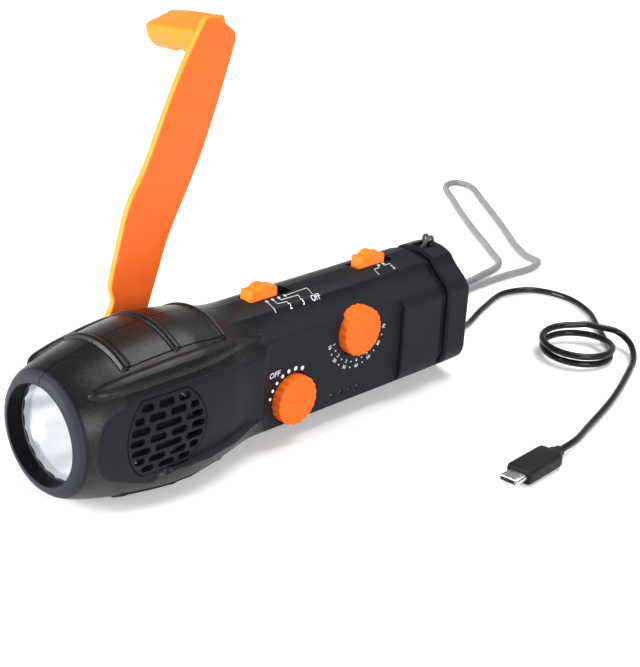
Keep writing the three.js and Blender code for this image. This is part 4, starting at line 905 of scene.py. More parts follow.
@dataclass
class HousingSizes:
    """Sizes of the two housing shells in millimetres, places along the axis from the lens."""

    head_length: float = 88.0
    head_radius: float = 30.9
    side_half_width: float = 26.8
    side_offset: float = 20.2
    body_half_width: float = 21.0
    body_rise: float = 26.7
    belly: float = 27.0
    body_end: float = 182.0
    neck_end: float = 187.0
    neck_inset: float = 2.0
    wall: float = 2.0
    seam: float = 0.3
    bezel_radius: float = 18.2
    pocket_radius: float = 19.5
    pocket_start: float = 5.4
    pocket_end: float = 10.1
    rib_end: float = 11.8
    pad_start: float = 22.6
    pad_end: float = 69.4
    pad_height: float = 0.55
    pad_angle: float = 56.0
    rib_height: float = 0.85
    rib_half_width: float = 1.45
    rib_groove: float = 0.16
    rib_spots: tuple[float, ...] = (24.0, 45.1, 68.0)
    ridge_height: float = 2.2
    belly_rib: float = 0.3
    ledge_angle: float = 33.9
    ledge_slope: float = 1.3
    low_ledge_angle: float = -28.8
    low_ledge_nose: float = -36.0
    low_ledge_start: float = 0.33
    low_ledge_run: float = 0.1
    corner_radius: float = 1.5
    panel_depth: float = 2.7
    panel_left: float = 87.6
    panel_lean: float = 3.2
    panel_right: float = 159.8
    panel_top: float = 17.0
    panel_corner: float = 3.2
    panel_lip: float = 0.9
    well_radius: float = 10.23
    well_floor: float = 15.4
    stem_radius: float = 3.2
    hollow_angles: tuple[float, ...] = (90, 73, 62, 48, 34, 20, 0, -18, -34, -45, -58, -74, -90)
    knob_spots: Outline = ((101.9, -9.4), (135.6, 9.6))
    indicator_x: float = 123.8
    indicator_pitch: float = 4.6
    indicator_count: int = 4
    indicator_z: float = -14.8
    indicator_radius: float = 1.1
    slot_starts: Outline = ((92.4, 20.8), (149.5, 20.0))
    slot_half_width: float = 3.6
    slot_floor: float = 23.7
    crank_x: float = 57.0
    crank_hole: float = 4.3
    screw_spots: Outline = ((88.0, 18.5), (88.0, -18.5), (172.0, 17.0), (172.0, -17.0))
    screw_hole: float = 3.1
    screw_seat: float = 8.0
    speaker_x: float = 34.6
    speaker_z: float = 0.4
    grille_radius: float = 17.3
    grille_flat: float = 14.3
    lead_hole: float = 1.7
    # Painted shade darkens the lens bore and the neck groove's end face; painted light lightens the
    # front ring.
    painted_hollow_shade: float = -0.8
    painted_rim_light: float = 1.3
    head_profile: Outline = (
        (0.011, 0.689), (0.034, 0.741), (0.068, 0.783), (0.114, 0.825), (0.17, 0.864),
        (0.227, 0.9), (0.341, 0.951), (0.432, 0.984), (0.511, 1), (0.591, 1), (0.682, 0.971),
        (0.75, 0.944), (0.813, 0.919), (0.875, 0.895), (0.938, 0.87), (1, 0.848),
    )
    side_plan: Outline = (
        (0, 0.91), (0.08, 0.91), (0.227, 0.97), (0.398, 1), (0.568, 0.996), (0.739, 0.933),
        (0.886, 0.832), (1, 0.776),
    )
    section: Outline = (
        (0, 1), (0.24, 0.977), (0.45, 0.912), (0.5, 0.86), (0.62, 0.762), (0.75, 0.68),
        (0.852, 0.618), (1, 0.479), (1, -0.547), (0.929, -0.674), (0.667, -0.828), (0.3, -1.03),
    )
    ridge_round: Outline = (
        (0, 0), (0.02, 0.27), (0.05, 0.43), (0.1, 0.6), (0.2, 0.8), (0.3, 0.92), (0.5, 1), (0.7, 0.92),
        (0.8, 0.8), (0.9, 0.6), (0.95, 0.44), (0.98, 0.28), (1, 0),
    )
    rim: Outline = ((0, 18.65), (0.35, 19.75), (0.97, 21.2), (3, 22.9))
    ridge: Sequence[tuple[float, float, float, float]] = (
        (0.088, 47.6, 46.4, 0.0), (0.092, 48.5, 45.5, 0.2), (0.1, 49.9, 43.8, 0.5),
        (0.112, 50.8, 41.8, 0.78), (0.14, 51.6, 39.4, 0.97), (0.19, 52, 38, 1),
        (0.386, 52, 37.5, 1), (0.557, 52, 37.5, 1), (0.682, 52.6, 39, 1), (0.795, 53.5, 42.2, 1),
        (0.886, 54, 46, 0.7), (0.966, 52.5, 49, 0.15), (0.99, 52, 50, 0),
    )


@dataclass
class Skin:
    """The housing's outer surface as a distance from the axis at each place and angle."""

    sizes: HousingSizes

    def __post_init__(self) -> None:
        """Prepares the body's section: its reach at angles close together along every side."""
        s = self.sizes
        half = [(y * s.body_half_width, z * s.body_rise) for y, z in s.section] + [(0.0, -s.belly)]
        mirrored = [(-y, z) for y, z in half[1:-1]]
        corners = np.array(rounded_corners(half + mirrored[::-1], s.corner_radius))
        spots = np.concatenate([corners + (np.roll(corners, -1, 0) - corners) * share
                                for share in np.linspace(0, 1, 24, endpoint=False)])
        angles = np.degrees(np.arctan2(spots[:, 1], np.abs(spots[:, 0])))
        keep = spots[:, 0] > -1e-6
        order = np.argsort(angles[keep])
        self.section_angles = angles[keep][order]
        self.section_reach = np.hypot(*spots[keep].T)[order]

    def body(self, angle: np.ndarray) -> np.ndarray:
        """Distance of the body's surface from the axis at each angle."""
        return np.interp(angle, self.section_angles, self.section_reach)

    def side(self, share: np.ndarray, angle: np.ndarray, inset: float = 0.0) -> np.ndarray:
        """Distance of the head's crowned side from the axis.

        Args:
            share: Places as shares of the head's length.
            angle: Angles above the side in degrees.
            inset: How far it lies under the surface.

        Returns:
            The distances.
        """
        s = self.sizes
        across = s.side_offset * np.cos(np.radians(angle))
        crown = s.side_half_width * eased(s.side_plan, share) + s.side_offset - inset
        return np.sqrt(np.maximum(across**2 - s.side_offset**2 + crown**2, 1.0)) - across

    def head(self, place: np.ndarray, angle: np.ndarray, inset: float) -> np.ndarray:
        """Distance of the head's surface from the axis, without its relief.

        Args:
            place: Places along the axis.
            angle: Angles above the side in degrees.
            inset: How far it lies under the surface.

        Returns:
            The distances.
        """
        s = self.sizes
        share = place / s.head_length
        reach = s.head_radius * eased(s.head_profile, share) - inset
        flat = np.minimum(reach, self.side(share, angle, inset))
        lowered = np.clip((share - s.low_ledge_start) / s.low_ledge_run, 0, 1)
        lower = np.where(share < s.low_ledge_start, -90.0,
                         s.low_ledge_nose + (s.low_ledge_angle - s.low_ledge_nose) * lowered)
        inside = rise(-angle, -s.ledge_angle, -s.ledge_angle + s.ledge_slope)
        return reach + (flat - reach) * inside * rise(angle, lower - 0.3, lower + 0.3)

    def ridge(self, place: np.ndarray, angle: np.ndarray) -> np.ndarray:
        """Height of the long ridges on the head's shoulders.

        Args:
            place: Places along the axis.
            angle: Angles above the side in degrees.

        Returns:
            The heights.
        """
        s = self.sizes
        table = np.array(s.ridge)
        share = place / s.head_length
        upper, lower, height = (np.interp(share, table[:, 0], table[:, k]) for k in (1, 2, 3))
        across = np.clip((angle - lower) / np.maximum(upper - lower, 0.1), 0, 1)
        profile = np.interp(across, *np.array(s.ridge_round).T)
        live = (share > table[0, 0]) & (share < table[-1, 0])
        return np.where(live, s.ridge_height * height * profile, 0.0)

    def pad(self, place: np.ndarray, angle: np.ndarray) -> np.ndarray:
        """Height of the gripping pads with their ribs.

        Args:
            place: Places along the axis.
            angle: Angles above the side in degrees.

        Returns:
            The heights.
        """
        s = self.sizes
        steep = np.abs(angle)
        along = rise(place, s.pad_start - 0.2, s.pad_start + 0.25)
        along = along * (1 - rise(place, s.pad_end - 0.25, s.pad_end + 0.2))
        lift = s.pad_height * along * rise(steep, s.pad_angle - 0.35, s.pad_angle + 0.35)
        for spot in s.rib_spots:
            off = np.abs(place - spot) / s.rib_half_width
            bump = (s.rib_height * np.clip(1 - off**2, 0, 1) ** 0.75
                    - s.rib_groove * np.clip(1 - ((off - 1.28) / 0.26) ** 2, 0, 1))
            foot = rise(steep, s.pad_angle - 1.9 + 0.8 * off, s.pad_angle - 0.9 + 0.8 * off)
            lift = lift + bump * foot * np.where(angle > 0, 1.0, s.belly_rib)
        return lift

    def ring(self, place: float, angles: np.ndarray, inset: float = 0.0, relief: bool = True
             ) -> np.ndarray:
        """One closed ring of the skin.

        Args:
            place: Its place along the axis.
            angles: Angles above the side from 90 down to -90 degrees.
            inset: How far it lies under the surface.
            relief: False leaves out the pads and the ridge.

        Returns:
            Points in axis coordinates, +Y side first.
        """
        s = self.sizes
        x = np.full_like(angles, place)
        share = float(rise(np.array(place), 0.75 * s.head_length, s.head_length))
        head = self.head(x, angles, inset)
        if relief:
            head = head + self.pad(x, angles)
        reach = head * (1 - share) + (self.body(angles) - inset) * share
        if relief:
            reach = reach + self.ridge(x, angles)
        if place < s.rim[-1][0] and not inset:
            reach = np.full_like(reach, np.interp(place, *np.array(s.rim).T))
        turn = np.radians(angles)
        y, z = reach * np.cos(turn), np.maximum(reach * np.sin(turn), inset - s.belly)
        right = np.stack([x, y, z], 1)
        left = right[1:-1][::-1] * [1, -1, 1]
        return np.concatenate([right, left])

    def angles(self) -> np.ndarray:
        """The outer skin's angles from 90 down to -90: even ones, with more at every corner."""
        s = self.sizes
        some = set(np.linspace(90, -90, 91).tolist()) | set(np.linspace(36, 53, 35).tolist())
        groups = [(math.degrees(math.atan2(z * s.body_rise, y * s.body_half_width)),
                   (-3.2, -2.1, -1.1, 0, 1.1, 2.1, 3.2)) for y, z in s.section[1:]]
        for centre, offsets in [
            *groups,
            (s.ledge_angle, (-1.3, -1.1, -0.65, -0.2, 0.0)),
            (s.low_ledge_angle, (-0.3, 0, 0.3)),
            (s.pad_angle, (-1.9, -1.2, -0.35, -0.12, 0.12, 0.35)),
            (-s.pad_angle, (-0.35, 0, 0.35)),
            (37.5, (0.0, 0.2, 0.45, 0.9, 1.5, 2.3, 3.2, 4.2)),
            (52.0, (-2.4, -1.6, -0.9, -0.4, -0.1, 0.15)),
        ]:
            some |= {centre + d for d in offsets}
        return -np.array(spaced((-v for v in some if -90 <= v <= 90), 0.08))

    def stations(self) -> np.ndarray:
        """Places along the axis: close together where the head has relief."""
        s = self.sizes
        some = [0, 0.35, 0.66, 0.97, 1.5, 2.2, 3.0, 3.6, 4.4, 7.9, 8.1, 8.3, 8.55, 9.3, 9.8]
        some += np.arange(5.2, 20, 0.85).tolist() + np.arange(20, 72, 0.95).tolist()
        some += np.arange(72, 100, 1.3).tolist() + np.linspace(100, s.body_end, 13).tolist()
        for edge in (s.pad_start, s.pad_end):
            some += [edge - 0.25, edge - 0.1, edge + 0.1, edge + 0.25]
        half = np.array([0.3, 0.6, 0.85, 0.97, 1.02, 1.28, 1.54])
        for spot in s.rib_spots:
            some += (spot + s.rib_half_width * np.array([*-half[::-1], 0, *half])).tolist()
        kept = spaced(some, 0.07)
        kept[-1] = s.body_end
        return np.array(kept)


@dataclass
class Housing:
    """The near and far shells with their panel, wells, slots and moulded relief."""

    finishes: dict[str, Material]
    sizes: HousingSizes = field(default_factory=HousingSizes)

    def __post_init__(self) -> None:
        """Prepares the outer skin."""
        self.skin = Skin(self.sizes)

    def solid(self, name: str) -> Thing:
        """The whole outer skin as one closed solid of some name."""
        angles = self.skin.angles()
        return lofted(name, [self.skin.ring(x, angles) for x in self.skin.stations()])

    def hollow(self, near: bool) -> Thing:
        """The room inside the walls.

        Args:
            near: True leaves the backs of the panel and the wells.

        Returns:
            The closed room.
        """
        s = self.sizes
        places = [s.rib_end, 15, 23, 33, 45, 56, 66, 77, s.head_length, 110, s.body_end - s.wall]
        ways = np.array(s.hollow_angles, float)
        obj = lofted("hollow", [self.skin.ring(x, ways, s.wall, False) for x in places])
        if near:
            left, right = s.panel_left - s.panel_lean - s.wall, s.panel_right + s.wall
            top = s.panel_top + s.wall
            backs = [pushed("panel_back", [(left, -FAR), (right, -FAR), (right, top), (left, top)],
                            -FAR, -s.body_half_width + s.panel_depth + s.wall, Way.Y)]
            backs += [bar("well_back", (x, 0, z), s.well_radius + s.wall, -FAR, -s.well_floor + s.wall)
                      for x, z in s.knob_spots]
            carve(obj, backs)
        return obj

    def pocket(self) -> Thing:
        """The round opening for lens, seal and reflector."""
        s = self.sizes
        profile = [
            (-6, 0), (-6, s.bezel_radius + 1.2), (0.0, s.bezel_radius + 0.3), (0.3, s.bezel_radius),
            (s.pocket_start, s.bezel_radius), (s.pocket_start, s.pocket_radius),
            (s.pocket_end, s.pocket_radius), (s.pocket_end, s.bezel_radius),
            (s.rib_end + 3, s.bezel_radius), (s.rib_end + 3, 0),
        ]
        return turned("pocket", profile, 160, Way.X)

    def neck(self) -> Thing:
        """The waist between the shells and the tail block."""
        s = self.sizes
        ring = self.skin.ring(s.body_end, self.skin.angles(), s.neck_inset, False)
        return lofted("neck", [ring + [x - s.body_end, 0, 0] for x in (s.body_end - 1, s.neck_end)])

    def slots(self) -> list[Thing]:
        """The openings of the two slide switches."""
        s = self.sizes
        half = s.slot_half_width
        return [pushed("slot", rounded_box(start, start + length, -half, half, 0.5, 3), s.slot_floor,
                       FAR, Way.Z) for start, length in s.slot_starts]

    def panel(self) -> Thing:
        """The sunk control panel's room, with a leaning left wall and soft lips."""
        s = self.sizes
        rings = []
        floor, deep = s.body_half_width - s.panel_depth, s.panel_depth
        levels = [(0.0, 0.55), (0.12, 0.25), (0.4, 0.07), (0.9, 0.0), (deep - s.panel_lip, 0.0),
                  (deep - 0.5, -0.14), (deep - 0.22, -0.36), (deep - 0.05, -0.75), (deep + 0.1, -1.4),
                  (8.0, -1.4)]
        for depth, inward in levels:
            left = s.panel_left - s.panel_lean * min(depth, deep) / deep + inward * 0.5
            right, top = s.panel_right - inward, s.panel_top - min(inward, 0.3) * 0.4
            outline: list[Pair] = [(left, -FAR), (right, -FAR)]
            for turn in np.linspace(0, math.pi / 2, 12):
                outline.append((right - s.panel_corner * (1 - math.cos(turn)),
                                top - 1.25 * s.panel_corner * (1 - math.sin(turn))))
            outline += [(left + 1.0, top), (left + 0.3, top - 0.3), (left, top - 1.0)]
            rings.append(np.array([(x, -floor - depth, z) for x, z in outline]))
        return lofted("panel", rings)

    def near_cutters(self) -> list[Thing]:
        """Panel, wells, stem holes, indicator holes and grille opening of the near shell."""
        s = self.sizes
        made = [self.panel()]
        plane, radius = s.body_half_width - s.panel_depth, s.well_radius
        for x, z in s.knob_spots:
            made.append(turned("well", [
                (-FAR, 0), (-FAR, radius + 0.35), (-plane - 0.12, radius + 0.35),
                (-plane + 0.1, radius + 0.08), (-plane + 0.3, radius), (-s.well_floor, radius),
                (-s.well_floor, 0)], 128, Way.Y, (x, 0, z)))
            made.append(bar("stem_hole", (x, 0, z), s.stem_radius, -s.well_floor - 1, 0))
        for k in range(s.indicator_count):
            made.append(turned("indicator", [
                (-FAR, 0), (-FAR, s.indicator_radius + 0.2), (-plane - 0.08, s.indicator_radius + 0.2),
                (-plane + 0.1, s.indicator_radius), (0, s.indicator_radius), (0, 0)],
                40, Way.Y, (s.indicator_x + s.indicator_pitch * k, 0, s.indicator_z)))
        made.append(pushed("grille_hole", grille_outline(s), -FAR, -12.0, Way.Y))
        return made

    def shell(self, near: bool) -> Thing:
        """One half of the housing.

        Args:
            near: True for the half with the panel, False for the half with the crank.

        Returns:
            The finished shell.
        """
        s = self.sizes
        node = "near_shell" if near else "far_shell"
        obj = self.solid(node + "_fine")
        carve(obj, [self.neck()], Join.ADD)
        cutters = [self.hollow(near), self.pocket(), *self.slots(),
                   bar("lead_way", (0, 0, 0), s.lead_hole, s.body_end - 8, FAR * 4, Way.X, 24)]
        if near:
            cutters += self.near_cutters()
        else:
            cutters.append(bar("crank_hole", (s.crank_x, 0, 0), s.crank_hole, 0, FAR))
            cutters += [bar("screw_hole", (x, 0, z), s.screw_hole, s.screw_seat, FAR, sides=40)
                        for x, z in s.screw_spots]
        carve(obj, cutters)
        low, high = (-FAR, -s.seam / 2) if near else (s.seam / 2, FAR)
        carve(obj, [pushed("half", [(-FAR, low), (4 * FAR, low), (4 * FAR, high), (-FAR, high)],
                           -FAR, FAR, Way.Z)], Join.KEEP)
        tidy_normals(obj, 27.0, 0.004)
        mark_grain_and_painted_tone(obj, self.skin)
        return finish_piece(obj, Body.HOUSING, self.finishes["housing"], "housing", node)


def grille_outline(s: HousingSizes, margin: float = 0.0) -> Outline:
    """The loudspeaker opening: a circle with two flats.

    Args:
        s: The housing's sizes.
        margin: How far the outline is moved outwards.

    Returns:
        Points of (x, z) in axis coordinates.
    """
    radius, flat = s.grille_radius + margin, s.grille_flat + margin
    turn = math.asin(flat / radius)
    spots = []
    for start, end in ((-turn, turn), (math.pi - turn, math.pi + turn)):
        for angle in np.linspace(start, end, 36):
            spots.append((s.speaker_x + radius * math.cos(angle),
                          s.speaker_z + radius * math.sin(angle)))
    return spots


def mark_grain_and_painted_tone(obj: Thing, skin: Skin) -> None:
    """Writes "grain", 1 on sparkling grain and 0 on smooth facets, and "tone", painted light and shade.

    Args:
        obj: A housing shell.
        skin: The surface that it was cut from.
    """
    s = skin.sizes
    x, y, z = axis_points(obj).T
    angle = np.degrees(np.arctan2(z, np.abs(y)))
    reach, share = np.hypot(y, z), x / s.head_length
    head = 1 - rise(x, 78, 100)
    upper = rise(angle, s.ledge_angle - 0.15, s.ledge_angle + 0.15)
    blunt = 1 - rise(x, 73.5, 75.0) * (1 - rise(angle, 37.3, 37.7))
    ridge_band = rise(angle, 37.6, 38.6) * (1 - rise(angle, 51.5, 52.3)) * rise(x, 9, 11)
    round_reach = s.head_radius * eased(s.head_profile, share)
    nose = rise(skin.side(share, angle) - round_reach, -0.25, 0.15) * (1 - rise(x, 66, 74))
    low = 1 - rise(angle, s.low_ledge_angle - 0.5, s.low_ledge_angle + 0.1)
    top = rise(angle, 62.5, 65.0) * (0.55 - 0.25 * rise(x, 120, 170))
    grain = np.max([head * upper * blunt * (1 - 0.1 * ridge_band), nose * head,
                    low * rise(x, 30, 32) * head, top * rise(x, 84, 92)], axis=0)
    inner = s.bezel_radius + 0.2
    grain = grain * rise(x, 2.6, 3.3) * (reach > inner)
    # Painted shade in the lens bore and on the neck groove's end face; the front ring below x 2.9 gets
    # painted light.
    bore = (reach < inner) & (x < s.rib_end + 3.1)
    bore |= (x > s.body_end - 0.1) & (reach < skin.body(angle) - 0.8 * s.neck_inset)
    tone = np.where(bore, s.painted_hollow_shade, np.where(x < 2.9, s.painted_rim_light, 0.0))
    mark(obj, "grain", np.clip(grain, 0, 1))
    mark(obj, "tone", tone)


# Repeats, built with Geometry Nodes


class Repeats:
    """A node group that sets one piece on every corner of a mesh."""

    def __init__(self) -> None:
        """Builds the group once."""
        tree = bpy.data.node_groups.new("piece_on_points", "GeometryNodeTree")
        for label, way, kind in (("Geometry", "INPUT", "Geometry"), ("Piece", "INPUT", "Object"),
                                 ("Finish", "INPUT", "Material"), ("Geometry", "OUTPUT", "Geometry")):
            tree.interface.new_socket(label, in_out=way, socket_type="NodeSocket" + kind)
        kit = Nodes(tree)
        given = kit.add("NodeGroupInput").outputs
        piece = kit.add("GeometryNodeObjectInfo", None, Object=given["Piece"])
        put = kit.add("GeometryNodeInstanceOnPoints", None, Points=given["Geometry"],
                      Instance=piece.outputs["Geometry"])
        real = kit.add("GeometryNodeRealizeInstances", None, Geometry=put.outputs[0])
        painted = kit.add("GeometryNodeSetMaterial", None, Geometry=real.outputs[0],
                          Material=given["Finish"])
        kit.add("NodeGroupOutput", None, Geometry=painted.outputs[0])
        self.tree = tree

    def at(self, name: str, piece: Thing, spots: np.ndarray, finish: Material) -> Thing:
        """Sets a piece at each spot.

        Args:
            name: The new object's name.
            piece: The piece, made round the frame's origin; it is deleted.
            spots: Places in the part's frame, in millimetres.
            finish: Its material.

        Returns:
            One mesh object of all the pieces.
        """
        host = mesh_object(name, spots, [])
        step = host.modifiers.new("repeat", "NODES")
        step.node_group = self.tree
        wanted = {"Piece": piece, "Finish": finish}
        for item in self.tree.interface.items_tree:
            if item.in_out == "INPUT" and item.name in wanted:
                step[item.identifier] = wanted[item.name]
        host.update_tag()
        baked(host)
        discard(piece)
        return host


# Front: grille, knobs, slide caps, lens, reflector and lamp


@dataclass
class FrontSizes:
    """Sizes of the loudspeaker grille, the knobs, the slide caps and the lamp, in millimetres."""

    grille_gap: float = 0.35
    grille_plate: float = 18.0
    slot_pitch: float = 3.75
    slot_height: float = 2.65
    slot_corner: float = 1.15
    slot_edge: float = 0.28
    slot_grain: float = 0.22
    slot_rows: tuple[Outline, ...] = (
        ((-13.2, 5.9), (-4.6, 7), (4.6, 7), (13.2, 5.9)),
        ((-11.6, 7.6), (0, 11.6), (11.6, 7.6)),
        ((-11.8, 3.9), (-4.6, 7), (4.6, 7), (11.8, 3.9)),
        ((-8, 5), (0, 7), (8, 5)),
    )
    knob_radius: float = 9.83
    knob_face: float = -21.7
    knob_back: float = -15.7
    knob_lobes: int = 20
    knob_dip: float = 0.42
    knob_round: float = 0.75
    stem_radius: float = 2.8
    stem_end: float = -13.2
    cap_half_width: float = 3.3
    cap_corner: float = 1.6
    cap_edge: float = 0.85
    cap_floor: float = 23.7
    cap_height: float = 7.6
    mode_cap: Pair = (92.7, 14.4)
    band_cap: Pair = (152.0, 14.0)
    mode_plate: Pair = (86.1, 113.5)
    band_plate: Pair = (146.7, 169.8)
    cap_side: Outline = (
        (0, 0.62), (0.04, 0.8), (0.1, 0.86), (0.18, 0.82), (0.27, 0.82), (0.37, 0.93),
        (0.47, 1), (0.58, 1), (0.68, 0.93), (0.78, 0.84), (0.87, 0.82), (0.94, 0.8), (1, 0.6),
    )
    lens_radius: float = 19.1
    lens_clear: float = 17.9
    lens_front: float = 4.0
    lens_crown: float = 1.3
    lens_back: float = 7.5
    bowl_vertex: float = 27.3
    bowl_depth: float = 18.5
    bowl_mouth: float = 17.6
    bowl_hole: float = 3.2
    bowl_front: float = 8.8
    flange_radius: float = 19.0
    lip_front: float = 7.7
    lip_radius: float = 17.95
    lamp_place: float = 27.6
    lamp_radius: float = 2.6


@dataclass
class Front:
    """The pieces that are set into the housing's head and panel."""

    finishes: dict[str, Material]
    housing: Housing
    repeats: Repeats
    sizes: FrontSizes = field(default_factory=FrontSizes)

    def grille_plate(self) -> Thing:
        """The crowned plate that the grille is cut from, wider than the grille."""
        s, h = self.sizes, self.housing.sizes
        xs = np.linspace(h.speaker_x - s.grille_plate, h.speaker_x + s.grille_plate, 49)
        zs = np.linspace(h.speaker_z - s.grille_plate, h.speaker_z + s.grille_plate, 49)
        crown = h.side_half_width * eased(h.side_plan, xs / h.head_length) + h.side_offset
        rings = []
        for x, reach in zip(xs, crown):
            front = np.sqrt(reach**2 - zs**2) - h.side_offset
            outer = np.stack([np.full_like(zs, x), -front, zs], 1)
            rings.append(np.concatenate([outer, outer[::-1] + [0, h.wall, 0]]))
        return lofted("speaker_grille_fine", rings)

    def grille(self) -> Thing:
        """The round insert with its rows of slots."""
        s, h = self.sizes, self.housing.sizes
        obj = self.grille_plate()
        carve(obj, [pushed("grille_plan", grille_outline(h, -s.grille_gap), -FAR, 0, Way.Y)], Join.KEEP)
        rows = [*s.slot_rows[:0:-1], *s.slot_rows]
        by_length: dict[float, list[np.ndarray]] = {}
        for i, row in enumerate(rows):
            z = h.speaker_z + s.slot_pitch * ((len(rows) - 1) / 2 - i)
            for across, length in row:
                spot = to_part(np.array([h.speaker_x + across, -22, z]))
                by_length.setdefault(length, []).append(spot)
        cutters = []
        for length, spots in by_length.items():
            plan = rounded_box(-length / 2, length / 2, -s.slot_height / 2, s.slot_height / 2,
                               s.slot_corner, 5)
            shape = settled(pushed("slot_shape", plan, -12, 12, Way.Y), -AXIS_TO_PART)
            cutters.append(self.repeats.at("slots", shape, np.array(spots), self.finishes["housing"]))
        carve(obj, cutters)
        tidy_normals(obj, 30)
        soften(obj, s.slot_edge, 40)
        tidy_normals(obj, 50, 0.0)
        mark(obj, "grain", np.full(len(obj.data.vertices), s.slot_grain))
        return finish_piece(obj, Body.HOUSING, self.finishes["housing"], "housing", "speaker_grille")

    def knob(self, at: Pair, body: Body) -> Thing:
        """A scalloped knob with a softly rounded rim and a stem.

        Args:
            at: Its axis as (x, z) in axis coordinates.
            body: The knob's body, which has the node's name.

        Returns:
            The finished knob.
        """
        s = self.sizes
        turn = np.linspace(0, 2 * math.pi, s.knob_lobes * 14, endpoint=False)
        dip = np.abs(np.cos(turn * s.knob_lobes / 2 + math.pi / 2)) ** 1.6
        rim = [(s.knob_face + s.knob_round * (1 - math.sin(step)), s.knob_round * (1 - math.cos(step)))
               for step in np.linspace(math.pi / 2, 0, 6)]
        rings = []
        for y, inset in [(s.knob_face + 0.12, 5.2), (s.knob_face + 0.1, 4.0), (s.knob_face, 2.4), *rim,
                         (s.knob_back - 0.3, 0.0), (s.knob_back, 0.3)]:
            radius = s.knob_radius - inset - s.knob_dip * (1 - dip) * max(0.0, 1 - inset / 2.2)
            rings.append(np.stack([at[0] + radius * np.cos(turn), np.full_like(turn, y),
                                   at[1] + radius * np.sin(turn)], 1))
        obj = lofted(body.value + "_fine", rings)
        carve(obj, [bar("stem", (at[0], 0, at[1]), s.stem_radius, s.knob_back - 0.3, s.stem_end,
                        sides=48)], Join.ADD)
        tidy_normals(obj, 38)
        return finish_piece(obj, body, self.finishes["knob"], "orange_plastic", body.value)

    def cap(self, name: str, cap: Pair, plate: Pair, body: Body) -> None:
        """A slide cap with its finger saddle and the shield under it.

        Args:
            name: The cap's name.
            cap: Its start and length along the axis.
            plate: Start and end of the shield.
            body: The slider's body, which has the node's name.
        """
        s = self.sizes
        start, length = cap
        rings = []
        for share in np.unique(np.concatenate([np.linspace(0, 0.12, 12), np.linspace(0.12, 0.88, 40),
                                               np.linspace(0.88, 1, 12)])):
            near = min(share, 1 - share) * length
            off = max(0.0, s.cap_corner - near)
            half = s.cap_half_width - s.cap_corner + math.sqrt(max(s.cap_corner**2 - off**2, 0.02))
            height = s.cap_height * float(eased(s.cap_side, np.array([share]))[0])
            height *= 0.55 + 0.45 * float(rise(np.array(near), -0.5, 1.0))
            edge = min(s.cap_edge, half * 0.6)
            side = [(half, 0.0)] + [(half - edge * (1 - math.cos(a)), height - edge * (1 - math.sin(a)))
                                    for a in np.linspace(0, math.pi / 2, 7)]
            side += [(half * 0.45, height - 0.06), (0.0, height - 0.12)]
            whole = side + [(-y, z) for y, z in side[-2::-1]]
            rings.append(np.array([(start + share * length, y, s.cap_floor + z) for y, z in whole]))
        obj = lofted(name, rings)
        tidy_normals(obj, 50)
        finish_piece(obj, body, self.finishes["slide_cap"], "orange_plastic", body.value)
        plan = rounded_box(*plate, -s.cap_half_width, s.cap_half_width, 0.4, 3)
        shield = pushed(name + "_shield", plan, s.cap_floor - 0.8, s.cap_floor - 0.05, Way.Z)
        tidy_normals(shield)
        finish_piece(shield, body, self.finishes["black_rubber"], "black_rubber")

    def lens(self) -> Thing:
        """The domed clear lens."""
        s = self.sizes
        dome = [(s.lens_front + s.lens_crown * (r / s.lens_clear) ** 2, r)
                for r in np.linspace(0, s.lens_clear, 14)]
        edge = [(5.75, s.lens_radius - 0.1), (6.0, s.lens_radius)]
        back = [(s.lens_back, r) for r in (19.0, 16, 12, 8, 4, 0)]
        obj = turned("lens_fine", [*dome, *edge, *back], 160, Way.X)
        return finish_piece(obj, Body.HOUSING, self.finishes["clear_plastic"], "clear_plastic", "lens")

    def reflector(self) -> Thing:
        """The parabolic bowl with its flange and lip."""
        s = self.sizes
        reach = s.bowl_mouth / math.sqrt(16 * s.bowl_depth)
        bowl = [(s.bowl_vertex - (radius / reach) ** 2 / 16, radius)
                for radius in np.linspace(s.bowl_mouth, s.bowl_hole, 40)]
        behind = [(x + 0.5, radius + 0.9) for x, radius in bowl[1:][::-1]]
        flange = [(s.bowl_front + 1, s.bowl_mouth + 1), (s.bowl_front + 1, s.flange_radius),
                  (s.bowl_front, s.flange_radius), (s.bowl_front, s.lip_radius + 0.1),
                  (s.lip_front, s.lip_radius + 0.05)]
        lip = (s.lip_front, s.lip_radius)
        obj = turned("reflector_fine", [lip, *bowl, *behind, *flange, lip], 192, Way.X)
        return finish_piece(obj, Body.HOUSING, self.finishes["mirror_coat"], "mirror_coat", "reflector")

    def emitter(self) -> Thing:
        """The light emitter's dome."""
        s = self.sizes
        chip = [(s.lamp_place - s.lamp_radius * math.cos(a) * 0.7, s.lamp_radius * math.sin(a))
                for a in np.linspace(0, math.pi / 2, 10)]
        obj = turned("led_emitter_fine", [*chip, (s.lamp_place, 0)], 64, Way.X)
        return finish_piece(obj, Body.HOUSING, self.finishes["emitter"], "emitter", "led_emitter")

    def build(self) -> None:
        """Makes every piece of the front."""
        s, spots = self.sizes, self.housing.sizes.knob_spots
        self.grille()
        self.knob(spots[0], Body.VOLUME)
        self.knob(spots[1], Body.TUNING)
        self.cap("mode_cap_fine", s.mode_cap, s.mode_plate, Body.MODE)
        self.cap("band_cap_fine", s.band_cap, s.band_plate, Body.BAND)
        self.lens()
        self.reflector()
        self.emitter()


# Crank


